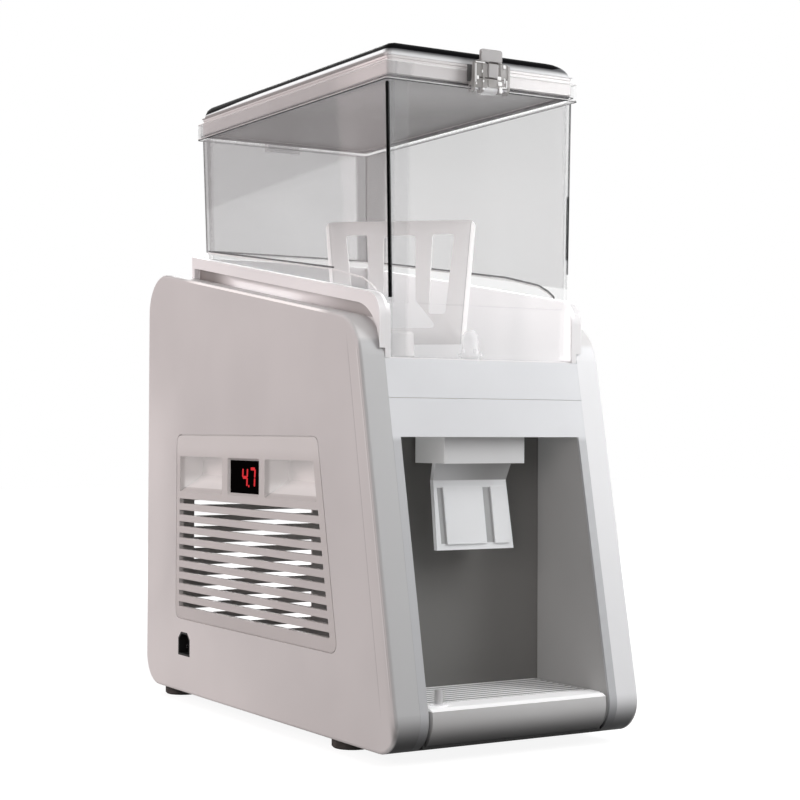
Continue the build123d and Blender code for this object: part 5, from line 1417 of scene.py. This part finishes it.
class DISPENSER_OT_stage(bpy.types.Operator):
    """Lay the floor, set the soft lights and place the camera"""

    bl_idname = "dispenser.stage"
    bl_label = "Stage, lights and camera"

    def execute(self, context):
        sizes = context.scene.dispenser_stage
        self.floor(sizes)
        self.world(sizes)
        self.lamps(sizes)
        self.camera(sizes)
        context.scene.view_settings.view_transform = "Standard"
        return {"FINISHED"}

    def floor(self, sizes):
        """A plain pale floor that shows soft shadows and fades to white."""
        half = sizes.floor_size / 2
        mesh = bpy.data.meshes.new("floor")
        corners = [(-half, -half, 0), (half, -half, 0), (half, half, 0), (-half, half, 0)]
        mesh.from_pydata(corners, [], [(0, 1, 2, 3)])
        floor = bpy.data.objects.new("floor", mesh)
        bpy.context.scene.collection.objects.link(floor)
        material = bpy.data.materials.new("pale_floor")
        material.use_nodes = True
        nodes = Nodes(material.node_tree)
        nodes.tree.nodes.clear()
        plain = nodes.node("ShaderNodeBsdfDiffuse", inputs={"Color": grey(sizes.floor_tone)})
        pale = nodes.node("ShaderNodeBsdfDiffuse", inputs={"Color": grey(sizes.floor_shadow)})
        spot = nodes.node("ShaderNodeTexCoord", output="Object")
        reach = nodes.node("ShaderNodeVectorMath", {"operation": "LENGTH"}, {0: spot}, "Value")
        inputs = {"Value": reach, "From Min": 0.35, "From Max": 1.1, "To Min": sizes.floor_glow}
        far = nodes.node("ShaderNodeMapRange", {"interpolation_type": "SMOOTHSTEP"}, inputs)
        glow = nodes.node("ShaderNodeEmission", inputs={"Strength": far})
        both = nodes.node("ShaderNodeAddShader", inputs={0: pale, 1: glow})
        # Reflections show the floor darker near the body: painted shade in the floor's reflection
        inputs = {"Value": reach, "From Min": 0.35, "From Max": 1.5, "To Min": 0.25, "To Max": 1.0}
        mirrored = nodes.node("ShaderNodeMapRange", inputs=inputs)
        share = (nodes.background_rays() * mirrored).most(nodes.rays("Camera"))
        pick = nodes.node("ShaderNodeMixShader", inputs={0: share, 1: plain, 2: both})
        nodes.end("ShaderNodeOutputMaterial", pick)
        mesh.materials.append(material)

    def world(self, sizes):
        """An even light that plain white stands in front of."""
        world = bpy.data.worlds.new("studio")
        bpy.context.scene.world = world
        world.use_nodes = True
        nodes = Nodes(world.node_tree)
        nodes.tree.nodes.clear()
        inputs = {"Color": sizes.world_colour[:] + (1.0,), "Strength": sizes.world_strength}
        soft = nodes.node("ShaderNodeBackground", inputs=inputs)
        white = nodes.node("ShaderNodeBackground", inputs={"Color": WHITE})
        inputs = {0: nodes.background_rays(), 1: soft, 2: white}
        nodes.end("ShaderNodeOutputWorld", nodes.node("ShaderNodeMixShader", inputs=inputs))

    def lamps(self, sizes):
        target = Vector((0, 0, 0.3))
        white, warm = (1.0, 1.0, 1.0), (1.0, 0.85, 0.84)
        lamps = (
            ("key_right", (0.95, -0.95, 0.75), 0.7, sizes.key_power, white),
            ("key_high", (0.55, -0.75, 0.95), 0.4, sizes.key_power * 0.3, white),
            ("front_high", (-0.1, -1.8, 1.6), 1.2, sizes.front_power, white),
            ("front_top", (0.0, -0.9, 1.8), 1.0, sizes.front_power * 1.5, white),
            ("fill_front", (-1.6, -1.3, 0.6), 1.2, sizes.fill_power * 0.75, (1.0, 0.93, 0.92)),
            ("fill_left", (-1.5, 0.9, 0.8), 1.2, sizes.fill_power, warm),
            ("top_soft", (0.2, 0.3, 2.2), 1.8, sizes.top_power, white),
            ("rear_soft", (1.3, 1.7, 1.0), 1.4, sizes.rear_power, white),
        )
        for name, place, size, power, colour in lamps:
            light = bpy.data.lights.new(name, "AREA")
            light.shape = "SQUARE"
            light.size = size
            light.energy = power
            light.color = colour
            lamp = bpy.data.objects.new(name, light)
            lamp.location = place
            lamp.rotation_euler = (target - Vector(place)).to_track_quat("-Z", "Y").to_euler()
            bpy.context.scene.collection.objects.link(lamp)

    def camera(self, sizes):
        camera = bpy.data.cameras.new("camera")
        camera.sensor_width = 36.0
        camera.lens = sizes.lens
        camera.clip_end = 50
        eye = bpy.data.objects.new("camera", camera)
        yaw, pitch, roll = sizes.yaw, sizes.pitch, sizes.roll
        ahead = Vector((sin(yaw) * cos(pitch), cos(yaw) * cos(pitch), sin(pitch)))
        side = Vector((cos(yaw), -sin(yaw), 0))
        up = side.cross(ahead)
        right = side * cos(roll) + up * sin(roll)
        upward = right.cross(ahead)
        turn = Matrix((right, upward, -ahead)).transposed().to_4x4()
        eye.matrix_world = Matrix.Translation(sizes.eye) @ turn
        bpy.context.scene.collection.objects.link(eye)
        bpy.context.scene.camera = eye


class StageSizes(bpy.types.PropertyGroup):
    """Floor, light levels and the camera"""

    floor_size: bpy.props.FloatProperty(
        name="Floor size", description="Width of the floor", default=12.0, unit="LENGTH"
    )
    floor_tone: bpy.props.FloatProperty(
        name="Floor tone", description="How much light the floor throws back", default=0.25, subtype="FACTOR"
    )
    floor_shadow: bpy.props.FloatProperty(
        name="Floor shadow", description="How deep the floor's shadows are", default=0.24, subtype="FACTOR"
    )
    floor_glow: bpy.props.FloatProperty(name="Floor glow", description="The floor's own white", default=0.9)
    world_strength: bpy.props.FloatProperty(name="Sky", description="Strength of even light", default=0.04)
    world_colour: bpy.props.FloatVectorProperty(
        name="Sky colour", description="Colour of the even light", default=(1.0, 1.0, 1.0), subtype="COLOR"
    )
    key_power: bpy.props.FloatProperty(name="Key", description="Right front lamps", default=7.8, unit="POWER")
    front_power: bpy.props.FloatProperty(name="Front", description="Front lamps", default=3.8, unit="POWER")
    fill_power: bpy.props.FloatProperty(name="Fill", description="Left lamps", default=14.0, unit="POWER")
    top_power: bpy.props.FloatProperty(name="Top", description="Overhead lamp", default=4.5, unit="POWER")
    rear_power: bpy.props.FloatProperty(name="Rear", description="Lamp behind", default=26.0, unit="POWER")
    lens: bpy.props.FloatProperty(name="Lens", description="Focal length in millimetres", default=78.174)
    yaw: bpy.props.FloatProperty(
        name="Yaw", description="Turn of the camera towards +X", default=radians(31.24), subtype="ANGLE"
    )
    pitch: bpy.props.FloatProperty(
        name="Pitch", description="Upward tilt of the camera", default=radians(0.977), subtype="ANGLE"
    )
    roll: bpy.props.FloatProperty(
        name="Roll", description="Roll of the camera", default=radians(0.265), subtype="ANGLE"
    )
    eye: bpy.props.FloatVectorProperty(
        name="Eye", description="Place of the camera", default=(-0.841, -1.43935, 0.2726), subtype="XYZ"
    )


class DISPENSER_PT_panel(bpy.types.Panel):
    """Buttons for each group of pieces"""

    bl_label = "Cold drink dispenser"
    bl_idname = "DISPENSER_PT_panel"
    bl_space_type = "VIEW_3D"
    bl_region_type = "UI"
    bl_category = "Dispenser"

    def draw(self, context):
        for operator in OPERATORS:
            self.layout.operator(operator.bl_idname)
        self.layout.prop(context.scene.dispenser_stage, "key_power")


OPERATORS = (
    DISPENSER_OT_finishes,
    DISPENSER_OT_tank,
    DISPENSER_OT_lid,
    DISPENSER_OT_latch,
    DISPENSER_OT_stirrer,
    DISPENSER_OT_display,
    DISPENSER_OT_float,
    DISPENSER_OT_repeats,
    DISPENSER_OT_stage,
)
GROUPS = {
    "dispenser_stage": StageSizes, "dispenser_tank": TankSizes, "dispenser_lid": LidSizes,
    "dispenser_repeats": RepeatSizes,
}


def register():
    for group in GROUPS.values():
        bpy.utils.register_class(group)
    for name, group in GROUPS.items():
        setattr(bpy.types.Scene, name, bpy.props.PointerProperty(type=group))
    for operator in OPERATORS:
        bpy.utils.register_class(operator)
    bpy.utils.register_class(DISPENSER_PT_panel)


def unregister():
    bpy.utils.unregister_class(DISPENSER_PT_panel)
    for operator in reversed(OPERATORS):
        bpy.utils.unregister_class(operator)
    for name, group in GROUPS.items():
        delattr(bpy.types.Scene, name)
        bpy.utils.unregister_class(group)


def main():
    register()
    for operator in OPERATORS:
        group, name = operator.bl_idname.split(".")
        getattr(getattr(bpy.ops, group), name)()


if __name__ == "__main__":
    main()
